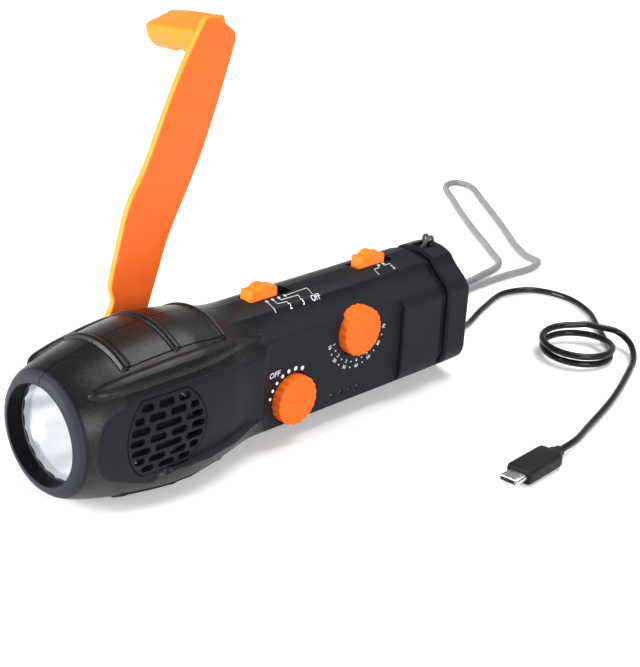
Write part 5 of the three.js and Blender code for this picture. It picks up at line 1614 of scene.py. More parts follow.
@dataclass
class CrankSizes:
    """Sizes of the arm, the handle and their screws, in millimetres."""

    axis_x: float = 57.0
    reach: float = 125.5
    arm_low: float = 27.48
    arm_high: float = 30.48
    hub_radius: float = 21.5
    edge: float = 0.8
    shaft_hole: float = 4.3
    screw_hole: float = 1.8
    handle_at: Pair = (44.0, 115.8)
    handle_tilt: float = 16.4
    handle_width: float = 15.5
    handle_height: float = 11.4
    handle_start: float = 30.78
    handle_length: float = 29.5
    handle_drop: float = 3.0
    handle_corner: float = 1.7
    handle_taper: float = 0.8
    handle_chin: float = 2.2
    handle_wall: float = 1.8
    collar_wall: float = 1.8
    collar_length: float = 20.0
    scoop_radius: float = 4.6
    scoop_place: float = 0.42
    pin_radius: float = 2.0
    pin_head_radius: float = 3.4
    pin_start: float = 28.6
    pin_end: float = 60.1
    pin_head: float = 1.5
    arm_edges: Outline = (
        (-0.06, 0.13), (-0.044, 0.167), (-0.03, 0.193), (-0.024, 0.215), (-0.033, 0.237),
        (-0.036, 0.255), (-0.027, 0.3), (-0.004, 0.381), (0.015, 0.456), (0.038, 0.509),
        (0.092, 0.596), (0.167, 0.763), (0.213, 0.856), (0.283, 0.971), (0.305, 1),
        (0.347, 0.998), (0.417, 0.946), (0.421, 0.924), (0.403, 0.869), (0.358, 0.746),
        (0.312, 0.629), (0.265, 0.531), (0.202, 0.417), (0.167, 0.343), (0.155, 0.306), (0.09, 0.12),
    )


@dataclass
class Crank:
    """The folding generator crank with its turning handle."""

    finishes: dict[str, Material]
    sizes: CrankSizes = field(default_factory=CrankSizes)

    def handle_axis(self) -> Pair:
        """The handle's axis as (x, z) in axis coordinates."""
        return self.sizes.axis_x + self.sizes.handle_at[0], self.sizes.handle_at[1]

    def arm(self) -> Thing:
        """The flat arm with its hub and softly rounded edges."""
        s = self.sizes
        corners = [(s.axis_x + x * s.reach, z * s.reach) for x, z in s.arm_edges]
        plan = rounded_corners(corners, 6.0, 6)
        obj = rounded_prism("crank_arm_fine", plan, s.arm_low, s.arm_high, s.edge)
        turn = np.linspace(0, 2 * math.pi, 180, endpoint=False)
        hub_plan = [(s.axis_x + s.hub_radius * math.cos(a), s.hub_radius * math.sin(a)) for a in turn]
        carve(obj, [rounded_prism("hub", hub_plan, s.arm_low, s.arm_high, s.edge)], Join.ADD)
        handle_x, handle_z = self.handle_axis()
        carve(obj, [
            bar("shaft_hole", (s.axis_x, 0, 0), s.shaft_hole, 0, s.arm_high - 0.7),
            bar("screw_way", (s.axis_x, 0, 0), s.screw_hole, 0, FAR),
            bar("pin_way", (handle_x, 0, handle_z), s.pin_radius + 0.3, s.pin_start - 0.1, FAR),
        ])
        tidy_normals(obj, 35)
        # The arm's side faces are marked for the painted highlight colour.
        middle, half = (s.arm_low + s.arm_high) / 2, (s.arm_high - s.arm_low) / 2
        depth = np.abs(axis_points(obj)[:, 1] - middle)
        mark(obj, "edge", 1 - rise(depth, half - 0.35, half - 0.05))
        return finish_piece(obj, Body.CRANK, self.finishes["orange_plastic"], "orange_plastic",
                            "crank_arm")

    def handle_ring(self, share: float, inset: float) -> np.ndarray:
        """The handle's section.

        Args:
            share: Its place as a share of the handle's length.
            inset: How far it lies under the surface.

        Returns:
            Points in axis coordinates.
        """
        s = self.sizes
        half, tall = s.handle_width / 2 - inset, s.handle_height / 2 - inset
        lift = s.handle_drop * (0.5 - share)
        corners = [
            (half, -tall + 0.3), (half, tall), (-half, tall), (-half, tall - 5.6),
            (-half + s.handle_chin, -tall),
        ]
        tilt, (at_x, at_z) = math.radians(s.handle_tilt), self.handle_axis()
        ring = []
        for x, z in rounded_corners(corners, s.handle_corner, 6):
            z += lift
            ring.append((at_x + x * math.cos(tilt) - z * math.sin(tilt),
                         s.handle_start + share * s.handle_length,
                         at_z + x * math.sin(tilt) + z * math.cos(tilt)))
        return np.array(ring)

    def scoop(self) -> Thing:
        """The round bar that the finger rest under the handle is cut with."""
        s = self.sizes
        tilt, (x, z) = math.radians(s.handle_tilt), self.handle_axis()
        drop = -(s.handle_height + s.scoop_radius) / 2
        at = np.array([x - drop * math.sin(tilt), s.handle_start + s.scoop_place * s.handle_length,
                       z + drop * math.cos(tilt)])
        made = bar("scoop", (0, 0, 0), s.scoop_radius, -20, 20, Way.X, 96)
        return settled(settled(made, -AXIS_TO_PART), to_part(at), -s.handle_tilt, "Y")

    def handle(self) -> Thing:
        """The grip: a rounded block with a scooped underside, hollow where it meets the arm."""
        s, ring = self.sizes, self.handle_ring
        rings = [ring(0.0, 0.5), ring(0.006, 0.2), ring(0.018, 0.0)]
        rings += [ring(share, 0.0) for share in np.linspace(0.06, 0.6, 12)]
        rings += [ring(share, s.handle_taper * (share - 0.6) / 0.7) for share in (0.7, 0.8, 0.9)]
        for step in np.linspace(0.15, math.pi / 2, 7):
            rings.append(ring(1 - 0.045 * (1 - math.sin(step)),
                              s.handle_taper * 0.5 + 1.3 * (1 - math.cos(step))))
        obj = lofted("handle_fine", rings)
        room = ring(0.0, s.handle_wall)
        carve(obj, [self.scoop(), lofted("handle_room", [room - [0, 3, 0], room + [0, 5, 0]])])
        (x, z), end = self.handle_axis(), s.handle_start + s.handle_length
        carve(obj, [bar("collar", (x, 0, z), s.pin_radius + s.collar_wall, s.handle_start,
                        s.handle_start + s.collar_length)], Join.ADD)
        carve(obj, [bar("pin_way", (x, 0, z), s.pin_radius + 0.3, 0, FAR * 2),
                    bar("pin_seat", (x, 0, z), s.pin_head_radius + 0.3, end - 1.9, FAR * 2)])
        tidy_normals(obj, 38)
        return finish_piece(obj, Body.HANDLE, self.finishes["handle_plastic"], "handle_plastic",
                            "handle")

    def pin(self) -> Thing:
        """The pin that the handle turns on, with its slotted head."""
        s = self.sizes
        neck, edge = s.pin_end - s.pin_head, 0.4
        profile = [(s.pin_start, 0), (s.pin_start, s.pin_radius - 0.3),
                   (s.pin_start + 0.3, s.pin_radius), (neck, s.pin_radius), (neck, s.pin_head_radius),
                   (s.pin_end - edge, s.pin_head_radius), (s.pin_end, s.pin_head_radius - edge),
                   (s.pin_end, 0)]
        x, z = self.handle_axis()
        obj = turned("handle_pin_fine", profile, 64, Way.Y, (x, 0, z))
        half = 0.4
        plan = [(x - FAR, z - half), (x + FAR, z - half), (x + FAR, z + half), (x - FAR, z + half)]
        carve(obj, [pushed("driver_slot", plan, s.pin_end - 0.8, s.pin_end + 1, Way.Y)])
        tidy_normals(obj)
        return finish_piece(obj, Body.CRANK, self.finishes["plated_steel"], "plated_steel", "handle_pin")

    def build(self) -> None:
        """Makes the arm, the handle and its pin."""
        self.arm()
        self.handle()
        self.pin()


def rounded_prism(name: str, plan: Outline, low: float, high: float, radius: float) -> Thing:
    """A plate along Y whose edges are rounded by insetting its outline.

    Args:
        name: The object's name.
        plan: Outline of (x, z) in axis coordinates.
        low: Lower face.
        high: Upper face.
        radius: Edge radius, at most half of the thickness.

    Returns:
        The closed plate.
    """
    spots = np.array(plan)
    ahead = np.roll(spots, -1, 0) - np.roll(spots, 1, 0)
    area = 0.5 * np.sum(spots[:, 0] * np.roll(spots[:, 1], -1) - np.roll(spots[:, 0], -1) * spots[:, 1])
    normal = np.stack([ahead[:, 1], -ahead[:, 0]], 1) / np.linalg.norm(ahead, axis=1)[:, None]
    normal *= np.sign(area)
    rings = []
    turns = np.linspace(0, math.pi / 2, 5)
    levels = [(low + radius * (1 - math.sin(a)), radius * (1 - math.cos(a))) for a in turns[::-1]]
    levels += [(high - radius * (1 - math.sin(a)), radius * (1 - math.cos(a))) for a in turns]
    for y, inset in levels:
        ring = spots - normal * inset
        rings.append(np.stack([ring[:, 0], np.full(len(ring), y), ring[:, 1]], 1))
    return lofted(name, rings)


# Tail block and gland


@dataclass
class TailSizes:
    """Sizes of the tail block, its strap pocket and the cable gland, in millimetres."""

    start: float = 187.0
    end: float = 200.0
    side_share: float = 0.986
    front_bevel: float = 1.1
    end_round: float = 1.6
    pocket: Pair = (189.0, 196.2)
    pocket_half_width: float = 3.4
    pocket_depth: float = 6.4
    strap_bar_radius: float = 1.1
    strap_bar_drop: float = 2.1
    gland_radius: float = 2.6
    gland_nose: float = 4.0
    gland_grooves: int = 3
    flange_radius: float = 3.6
    flange_place: float = 192.3
    flange_length: float = 1.6
    lead_radius: float = 1.4
    top_grain: float = 0.45


@dataclass
class Tail:
    """The block behind the groove, with the strap bar and the lead's gland."""

    finishes: dict[str, Material]
    housing: Housing
    sizes: TailSizes = field(default_factory=TailSizes)

    def ring(self, place: float, inset: float) -> np.ndarray:
        """The block's section, a little narrower than the housing's.

        Args:
            place: Its place along the axis.
            inset: How far it lies under the surface.

        Returns:
            Points in axis coordinates.
        """
        skin = self.housing.skin
        ring = skin.ring(self.housing.sizes.body_end - 8, skin.angles(), inset, False)
        return ring * [0, self.sizes.side_share, 1] + [place, 0, 0]

    def block(self) -> Thing:
        """The block with rounded ends, the strap pocket and its bar."""
        s, h = self.sizes, self.housing.sizes
        levels = [(s.start, s.front_bevel), (s.start + 0.15, s.front_bevel * 0.8),
                  (s.start + s.front_bevel * 0.8, 0.15), (s.start + s.front_bevel, 0.0),
                  (s.start + 4, 0.0), (s.end - s.end_round, 0.0)]
        for step in np.linspace(0.15, math.pi / 2, 6):
            levels.append((s.end - s.end_round * (1 - math.sin(step)),
                           s.end_round * (1 - math.cos(step))))
        obj = lofted("tail_block_fine", [self.ring(place, inset) for place, inset in levels])
        low = h.body_rise - s.pocket_depth
        rings = []
        for z, grow in ((low, -0.2), (low + 0.3, 0), (h.body_rise - 0.9, 0), (h.body_rise - 0.35, 0.2),
                        (h.body_rise - 0.02, 0.65), (h.body_rise + 6, 0.65)):
            plan = rounded_box(s.pocket[0] - grow, s.pocket[1] + grow, -s.pocket_half_width - grow,
                               s.pocket_half_width + grow, 1.0 + grow, 6)
            rings.append(np.array([(x, y, z) for x, y in plan]))
        carve(obj, [
            lofted("pocket", rings),
            bar("gland_way", (0, 0, 0), s.gland_radius + 0.3, s.start, FAR * 4, Way.X, 48),
            bar("flange_way", (0, 0, 0), s.flange_radius + 0.3, s.start - 1, s.flange_place + 1.9,
                Way.X, 48),
            pushed("spigot_room", rounded_box(-12.3, 12.3, -18.3, 18.0, 2.0), s.start - 1,
                   s.start + 5.3, Way.X),
        ])
        middle = (s.pocket[0] + s.pocket[1]) / 2
        strap_bar = bar("strap_bar", (middle, 0, h.body_rise - s.strap_bar_drop), s.strap_bar_radius,
                        -s.pocket_half_width - 1.5, s.pocket_half_width + 1.5, sides=32)
        carve(obj, [strap_bar], Join.ADD)
        tidy_normals(obj, 27, 0.004)
        y, z = axis_points(obj)[:, 1:].T
        mark(obj, "grain", s.top_grain * rise(np.degrees(np.arctan2(z, np.abs(y))), 60, 66))
        return finish_piece(obj, Body.HOUSING, self.finishes["housing"], "housing", "tail_block")

    def gland(self) -> Thing:
        """The rubber gland with grooves round its nose."""
        s = self.sizes
        flange_end, nose = s.flange_place + s.flange_length, s.end + s.gland_nose
        profile = [(s.flange_place, 0), (s.flange_place, s.flange_radius - 0.3),
                   (s.flange_place + 0.3, s.flange_radius), (flange_end, s.flange_radius),
                   (flange_end, s.gland_radius), (s.end + 0.4, s.gland_radius)]
        for k in range(s.gland_grooves):
            at, radius = s.end + 0.7 + k, s.gland_radius - 0.25 * k
            profile += [(at, radius), (at + 0.2, radius - 0.35), (at + 0.45, radius - 0.35),
                        (at + 0.6, radius - 0.1)]
        obj = turned("cable_gland_fine", [*profile, (nose, s.lead_radius + 0.35), (nose, 0)], 64, Way.X)
        return finish_piece(obj, Body.HOUSING, self.finishes["black_rubber"], "black_rubber",
                            "cable_gland")

    def build(self) -> None:
        """Makes the block and the gland."""
        self.block()
        self.gland()


# Cords


@dataclass
class CordSizes:
    """Sizes and routes of the lead and the strap, in millimetres of the part's frame."""

    lead_radius: float = 1.4
    lead_length: float = 480.0
    coil_centre: Pair = (198.4, -38.6)
    coil_radius: float = 15.0
    coil_spread: float = 0.8
    coil_rise: float = 3.6
    coil_start_angle: float = -48.6
    coil_sweep: float = 626.0
    coil_steps: int = 24
    plug_at: Spot = (108.5, -93.2, 3.1)
    plug_turn: float = 184.0
    relief_length: float = 5.8
    relief_levels: Levels = (
        (-5.8, 3.6, 3.2, 1.1), (-5.6, 4.0, 3.5, 1.2), (-3.1, 4.2, 3.6, 1.2), (-3.05, 5.0, 3.9, 1.1),
        (-2.8, 5.3, 4.1, 1.1), (-0.3, 5.4, 4.2, 1.1),
    )
    plug_levels: Levels = (
        (0.0, 8.4, 4.6, 1.6), (0.25, 9.6, 5.4, 1.7), (0.9, 10.6, 6.0, 1.8), (1.8, 11.0, 6.2, 1.8),
        (20.8, 11.0, 6.2, 1.8), (21.6, 10.8, 6.0, 1.8), (22.0, 10.2, 5.5, 1.6),
    )
    tip_levels: Levels = (
        (22.3, 8.2, 2.4, 1.15), (28.4, 8.2, 2.4, 1.15), (28.6, 8.05, 2.25, 1.1), (28.7, 7.7, 1.9, 0.9),
    )
    lead_out: Sequence[Spot] = (
        (147.3, 0, 27), (150.5, 0, 27), (157.5, 1, 23.5), (164, 3, 14), (171, 6, 5.5), (181, 9.5, 2.2),
        (205, 18.5, 2.1), (228, 24.5, 1.7), (242, 19, 1.6), (247, 3, 1.6), (241, -14, 1.6),
        (229, -28, 1.6),
    )
    lead_on: Sequence[Spot] = (
        (217, -35.8, 7.6), (221.5, -43, 6.6), (220, -51, 4.4), (212, -59, 2.3), (197, -66.5, 1.7),
        (171, -77, 1.6), (141.6, -86.2, 1.8), (127, -91, 2.7),
    )
    strap_radius: float = 0.75
    strap_length: float = 200.0
    strand_gap: float = 2.6
    bar_at: Pair = (135.6, 51.6)
    bar_wrap: float = 2.6
    wrap_angles: tuple[float, ...] = (35, -20, -75, -130, 175, 120)
    slider_at: Pair = (184.0, 34.0)
    slider_turn: float = 12.0
    slider_length: float = 15.0
    slider_width: float = 9.0
    slider_levels: Outline = (
        (0.3, 0.6), (0.45, 0.25), (0.8, 0.0), (3.1, 0.0), (3.3, 0.08), (4.35, 1.05), (4.6, 1.3))
    strap_route: Sequence[Spot] = (
        (179.5, 33, 1), (172, 30.5, 1), (163, 25.5, 1.4), (157, 20, 5), (153, 14.5, 16), (150, 9.5, 32),
        (147, 6, 47), (143.5, 3.8, 54.2), (140, 2.6, 54.7),
    )
    loop_radius: float = 1.7
    loop_length: float = 402.0
    loop_side: float = 2.2
    loop_route: Sequence[Spot] = (
        (208, 37.2, 1.6), (225, 39.2, 1.6), (248, 39, 1.6), (266, 38, 1.6), (275, 41.5, 1.6),
        (277, 50, 1.6), (284, 62, 1.6), (304, 88, 1.6), (326, 118, 1.6), (342, 142, 1.6),
        (341, 150, 1.6), (332, 150, 1.6), (312, 127, 1.6), (288, 95, 1.6), (268, 66, 1.6),
        (256, 51, 1.6), (236, 46.4, 1.6), (214, 43, 1.6), (206.5, 41.2, 1.6),
    )


YARNS = 8


def distances(line: np.ndarray) -> np.ndarray:
    """How far each point of a line lies along it."""
    return np.concatenate([[0], np.cumsum(np.linalg.norm(np.diff(line, axis=0), axis=1))])


def smooth_line(points: Sequence[Sequence[float]], step: float) -> np.ndarray:
    """A centripetal curve through points, sampled at an even step.

    Args:
        points: Points that the curve passes.
        step: Distance between samples in millimetres.

    Returns:
        The samples, first and last point included.
    """
    spots = np.array(points, float)
    spots = np.concatenate([[2 * spots[0] - spots[1]], spots, [2 * spots[-1] - spots[-2]]])
    line: list[np.ndarray] = []
    for i in range(1, len(spots) - 2):
        p = spots[i - 1 : i + 3]
        gaps = np.sqrt(np.linalg.norm(np.diff(p, axis=0), axis=1)) + 1e-6
        knots = np.concatenate([[0], np.cumsum(gaps)])
        for t in np.linspace(knots[1], knots[2], 24, endpoint=False):
            a = [p[k] + (p[k + 1] - p[k]) * (t - knots[k]) / (knots[k + 1] - knots[k]) for k in range(3)]
            b = [a[k] + (a[k + 1] - a[k]) * (t - knots[k]) / (knots[k + 2] - knots[k]) for k in range(2)]
            line.append(b[0] + (b[1] - b[0]) * (t - knots[1]) / (knots[2] - knots[1]))
    line.append(spots[-2])
    dense = np.array(line)
    run = distances(dense)
    even = np.linspace(0, run[-1], max(8, round(run[-1] / step)))
    return np.stack([np.interp(even, run, dense[:, k]) for k in range(3)], 1)


def tube(name: str, line: np.ndarray, radius: float, sides: int,
         relief: Callable[[np.ndarray, np.ndarray], np.ndarray] | None = None) -> Thing:
    """A closed tube along a line, with a UV map in yarn widths.

    Args:
        name: The object's name.
        line: The centreline in the part's frame, in millimetres.
        radius: Its radius.
        sides: Points round it.
        relief: Height over (distance along, turn round), both in yarn widths, or None.

    Returns:
        The tube.
    """
    ahead = np.gradient(line, axis=0)
    ahead /= np.linalg.norm(ahead, axis=1)[:, None]
    across = np.cross([0, 0, 1.0], ahead[0])
    across /= np.linalg.norm(across)
    run = distances(line)
    unit = 2 * math.pi * radius / YARNS
    turn = np.linspace(0, 2 * math.pi, sides, endpoint=False)
    rings = []
    for i, spot in enumerate(line):
        across = across - ahead[i] * np.dot(across, ahead[i])
        across /= np.linalg.norm(across)
        over = np.cross(ahead[i], across)
        reach = np.full(sides, radius)
        if relief is not None:
            reach = reach + relief(np.full(sides, run[i] / unit), turn / (2 * math.pi) * YARNS)
        if i in (0, len(line) - 1):
            reach = reach * 0.8
        rings.append(spot + np.outer(np.cos(turn) * reach, across)
                     + np.outer(np.sin(turn) * reach, over))
    obj = lofted(name, rings, part_frame=True)
    mesh = obj.data
    layer = mesh.uv_layers.new(name="UVMap")
    for face in mesh.polygons:
        face.use_smooth = True
        numbers = [mesh.loops[k].vertex_index for k in face.loop_indices]
        wraps = max(n % sides for n in numbers) - min(n % sides for n in numbers) > sides / 2
        for k, n in zip(face.loop_indices, numbers):
            share = (n % sides) / sides
            if wraps and share < 0.5:
                share += 1
            layer.data[k].uv = (run[n // sides] / unit, share * YARNS)
    return obj


def braid_relief(along: np.ndarray, around: np.ndarray) -> np.ndarray:
    """Height of a braid of crossing yarns in millimetres.

    Args:
        along: Distance along the cord in yarn widths.
        around: Distance round it in yarn widths.

    Returns:
        The heights.
    """
    left = np.abs(np.sin(math.pi * (along + around)))
    right = np.abs(np.sin(math.pi * (along - around)))
    over = np.sin(math.pi * along) * np.sin(math.pi * around) > 0
    high = np.where(over, left, right)
    return 0.13 * np.maximum(high, 0.55 * np.minimum(left, right) + 0.2) - 0.12


@dataclass
class Cords:
    """The charging lead with its plug, and the wrist strap with its slider."""

    finishes: dict[str, Material]
    sizes: CordSizes = field(default_factory=CordSizes)

    def lead_line(self) -> np.ndarray:
        """The lead's centreline from the gland through the coil to the plug."""
        s = self.sizes
        count = round(s.coil_sweep / 360 * s.coil_steps)
        turns = []
        for i in range(count + 1):
            turn = s.coil_sweep * i / count
            radius = s.coil_radius + s.coil_spread * (turn / s.coil_sweep - 0.5)
            turns.append((*polar(s.coil_centre, radius, s.coil_start_angle - turn),
                          s.lead_radius * 1.1 + s.coil_rise * turn / 360))
        spots = np.array(turns)

        def beyond(end: np.ndarray, inner: np.ndarray, reach: float) -> np.ndarray:
            """The point a distance past an end, on the line from the one before it."""
            return end + (end - inner) / np.linalg.norm(end - inner) * reach

        first, last = beyond(spots[0], spots[1], 3.4), beyond(spots[-1], spots[-2], 3.4)
        axis = np.array([*polar((0, 0), 1.0, s.plug_turn), 0])
        relief = np.array(s.plug_at) - axis * s.relief_length
        route = [*np.array(s.lead_out), beyond(first, spots[0], 2.8), first, *spots, last,
                 beyond(last, spots[-1], 2.8), *np.array(s.lead_on), relief - axis * 3.1,
                 relief + axis * 0.6]
        return smooth_line(route, 1.1)

    def lead(self, plug: Sequence[Thing]) -> None:
        """The charging lead as one cord from the gland to the plug's pieces."""
        s = self.sizes
        line = self.lead_line()
        obj = tube("charging_lead", line, s.lead_radius, 24)
        finish_piece(obj, Body.HOUSING, self.finishes["lead_jacket"], "lead_jacket",
                     "lead_run_out", "lead_coil", "lead_run_on")
        LOG.info("lead %.0f mm", distances(line)[-1])

    def plug(self) -> list[Thing]:
        """The moulded plug with its stepped relief and its metal tip."""
        s = self.sizes

        def block(name: str, levels: Levels) -> Thing:
            """A lofted block.

            Args:
                name: The object's name.
                levels: Its sections as (x, width, height, corner).

            Returns:
                The block.
            """
            rings = []
            for x, width, height, corner in levels:
                plan = rounded_box(-width / 2, width / 2, -height / 2, height / 2, corner)
                rings.append(np.array([(x, y, z) for y, z in plan]))
            return lofted(name, rings)

        relief = block("plug_relief_fine", s.relief_levels)
        body = block("plug_body_fine", s.plug_levels)
        tip = block("plug_tip_fine", s.tip_levels)
        mouth = rounded_box(-3.5, 3.5, -0.75, 0.75, 0.7, 5)
        carve(tip, [pushed("plug_mouth", mouth, 24.0, 30.0, Way.X)])
        made = []
        for obj, finish, slot, node in (
            (relief, "plug", "lead_jacket", "plug_relief"),
            (body, "plug", "lead_jacket", "plug_body"),
            (tip, "plated_steel", "plated_steel", "plug_tip"),
        ):
            tidy_normals(obj, 40)
            settled(settled(obj, -AXIS_TO_PART), s.plug_at, s.plug_turn)
            made.append(finish_piece(obj, Body.HOUSING, self.finishes[finish], slot, node))
        return made

    def at_slider(self, x: float, y: float, z: float) -> np.ndarray:
        """A point given from the slider's near end, in the part's frame.

        Args:
            x: Distance along the slider.
            y: Distance across it.
            z: Height over the floor.

        Returns:
            The point.
        """
        s = self.sizes
        turn = math.radians(s.slider_turn)
        return np.array([s.slider_at[0] + x * math.cos(turn) - y * math.sin(turn),
                         s.slider_at[1] + x * math.sin(turn) + y * math.cos(turn), z])

    def strap(self, slider: Thing) -> None:
        """The thin doubled cord from the slider round the tail's bar and back."""
        s = self.sizes

        def strand(side: int) -> list[np.ndarray]:
            """One strand of the doubled cord.

            Args:
                side: 1 or -1.

            Returns:
                Its points from the slider up to the bar.
            """
            aside = side * s.strand_gap / 2
            return ([self.at_slider(0.5, aside, 1.0), self.at_slider(-1.8, aside, 1.0)]
                    + [np.array(p) + [0, aside, 0] for p in s.strap_route])

        wrap = []
        for i, angle in enumerate(s.wrap_angles):
            x, z = polar(s.bar_at, s.bar_wrap, angle)
            wrap.append(np.array([x, (0.5 - i / (len(s.wrap_angles) - 1)) * s.strand_gap, z]))
        line = smooth_line([*strand(1), *wrap, *strand(-1)[::-1]], 0.55)
        obj = tube("strap_cord_fine", line, s.strap_radius, 12)
        finish_piece(obj, Body.HOUSING, self.finishes["strap_cord_black"], "strap_cord_black",
                     "strap_cord")
        LOG.info("strap cord %.0f mm", distances(line)[-1])

    def slider(self) -> Thing:
        """The strap's slider: a bevelled block with a sunk top."""
        s = self.sizes
        long, half = s.slider_length, s.slider_width / 2

        def block(name: str, levels: Outline, plan: Callable[[float], Outline]) -> Thing:
            """A lofted block.

            Args:
                name: The object's name.
                levels: Its sections as (height, offset).
                plan: Gives the outline at an offset.

            Returns:
                The block.
            """
            return lofted(name, [np.array([(x, y, z) for x, y in plan(off)]) for z, off in levels],
                          part_frame=True)

        obj = block("strap_slider_fine", s.slider_levels, lambda inset: rounded_box(
            inset, long - inset, inset - half, half - inset, 1.9 - 0.5 * inset, 7))
        carve(obj, [block("tray", ((4.25, 0.0), (4.45, 0.08), (4.7, 0.3)), lambda grow: rounded_box(
            2.6 - grow, long - 2.6 + grow, -1.7 - grow, 1.7 + grow, 0.7, 5))])
        tidy_normals(obj, 30)
        soften(obj, 0.12, 30)
        tidy_normals(obj, 45, 0.0)
        settled(obj, (*s.slider_at, 0), s.slider_turn)
        return finish_piece(obj, Body.HOUSING, self.finishes["slider_grey"], "slider_grey",
                            "strap_slider")

    def loop(self) -> None:
        """The braided wrist loop, out of the slider and back."""
        s = self.sizes
        inner, outer = s.slider_length - 0.5, s.slider_length + 0.3 + 2 * s.loop_radius
        height, side = s.loop_route[0][2], s.loop_side
        line = smooth_line([self.at_slider(inner, -side, height), self.at_slider(outer, -side, height),
                            *np.array(s.loop_route), self.at_slider(outer, side, height),
                            self.at_slider(inner, side, height)], 0.3)
        obj = tube("wrist_loop_fine", line, s.loop_radius, 40, braid_relief)
        finish_piece(obj, Body.HOUSING, self.finishes["grey_braid"], "grey_braid", "wrist_loop")
        LOG.info("wrist loop %.0f mm", distances(line)[-1])

    def build(self) -> None:
        """Makes both cords with what is on them."""
        self.lead(self.plug())
        self.strap(self.slider())
        self.loop()




# Printed marks


@dataclass
class MarkSizes:
    """Places of the printed dots, lines, numbers and letters in axis coordinates, in millimetres."""

    lift: float = 0.04
    top_lift: float = 0.07
    panel_plane: float = -18.3
    letter: float = 1.9
    off_letter: float = 1.15
    fine: float = 0.5
    line: float = 0.24
    volume_reach: float = 11.95
    volume_dots: Outline = (
        (166.4, 0.62), (150.8, 0.66), (134.9, 0.7), (118.5, 0.76), (102.2, 0.82), (85.4, 0.88),
        (68.0, 0.88),
    )
    off_at: Pair = (92.0, 2.75)
    scale_reaches: Pair = (13.0, 15.35)
    scale_steps: tuple[int, int] = (1, 10)
    scale_count: int = 7
    scale_start: float = -167.0
    scale_pitch: float = 26.3
    scale_letter: float = 1.4
    scale_dot: float = 0.32
    stop_dots: Outline = (
        (99.0, -5.2), (102.1, -5.2), (105.2, -5.2), (108.4, -5.1), (160.3, -4.7), (163.1, -4.6),
    )
    stop_dot: float = 0.62
    leaders: tuple[Outline, ...] = (
        ((99.0, -5.2), (99.0, -8.3)),
        ((102.1, -5.2), (102.2, -7.7), (106.7, -8.0), (106.8, -8.6)),
        ((105.2, -5.2), (105.1, -6.5), (113.9, -6.7), (113.4, -8.6)),
        ((108.4, -5.1), (120.4, -4.7), (119.9, -8.4)),
        ((160.3, -4.7), (159.4, -5.9), (156.4, -6.1), (156.2, -6.9)),
        ((163.1, -4.6), (162.6, -5.7), (165.9, -5.6), (165.8, -6.4)),
    )
    stop_words: tuple[tuple[str, float, float], ...] = (
        ("1", 99.0, -9.6), ("2", 106.9, -9.8), ("3", 113.5, -9.8), ("OFF", 120.3, -9.7),
        ("1", 156.1, -8.2), ("2", 165.6, -7.8),
    )
    over_shell: float = 60.0


@dataclass
class Sheet:
    """Flat ink shapes gathered into one mesh."""

    spots: list[Pair] = field(default_factory=list)
    faces: list[list[int]] = field(default_factory=list)

    def shape(self, spots: Iterable[Sequence[float]], faces: Iterable[Sequence[int]]) -> None:
        """Adds faces.

        Args:
            spots: Their corner points.
            faces: The numbers of each face's corners among these points.
        """
        base = len(self.spots)
        self.spots += [(float(a), float(b)) for a, b in spots]
        self.faces += [[base + k for k in face] for face in faces]

    def dot(self, at: Pair, radius: float, sides: int = 20) -> None:
        """Adds a round dot.

        Args:
            at: Its middle.
            radius: Its radius.
            sides: Points round it.
        """
        self.shape([polar(at, radius, 360 * k / sides) for k in range(sides)], [list(range(sides))])

    def line(self, ends: Outline, width: float, step: float = 0.8) -> None:
        """Adds a bent line as short quads.

        Args:
            ends: The line's ends and bends.
            width: Its width.
            step: Length of a quad.
        """
        for (ax, ay), (bx, by) in zip(ends, ends[1:]):
            length = math.hypot(bx - ax, by - ay)
            nx, ny = -(by - ay) / length * width / 2, (bx - ax) / length * width / 2
            count = max(1, round(length / step))
            spots = []
            for k in range(count + 1):
                x, y = ax + (bx - ax) * k / count, ay + (by - ay) * k / count
                spots += [(x - nx, y - ny), (x + nx, y + ny)]
            self.shape(spots, [(2 * k, 2 * k + 2, 2 * k + 3, 2 * k + 1) for k in range(count)])

    def word(self, text: str, at: Pair, height: float, up: float = 90.0,
             slant: float = 0.0) -> None:
        """Adds letters or digits centred on a place.

        Args:
            text: What is printed.
            at: The middle of the word.
            height: Height of its capitals.
            up: Angle of its upward way in degrees.
            slant: Lean of the letters.
        """
        curve = bpy.data.curves.new("word", "FONT")
        curve.body, curve.size, curve.shear = text, height / 0.7, slant
        curve.align_x, curve.align_y, curve.resolution_u, curve.offset = "CENTER", "CENTER", 3, 0.02
        obj = linked("word", curve)
        bpy.context.view_layer.update()
        mesh = evaluated(obj)
        turn = math.radians(up - 90.0)
        ca, sa = math.cos(turn), math.sin(turn)
        self.shape([(at[0] + v.co.x * ca - v.co.y * sa, at[1] + v.co.x * sa + v.co.y * ca)
                    for v in mesh.vertices], [list(p.vertices) for p in mesh.polygons])
        discard(obj)
        bpy.data.meshes.remove(mesh)
        bpy.data.curves.remove(curve)


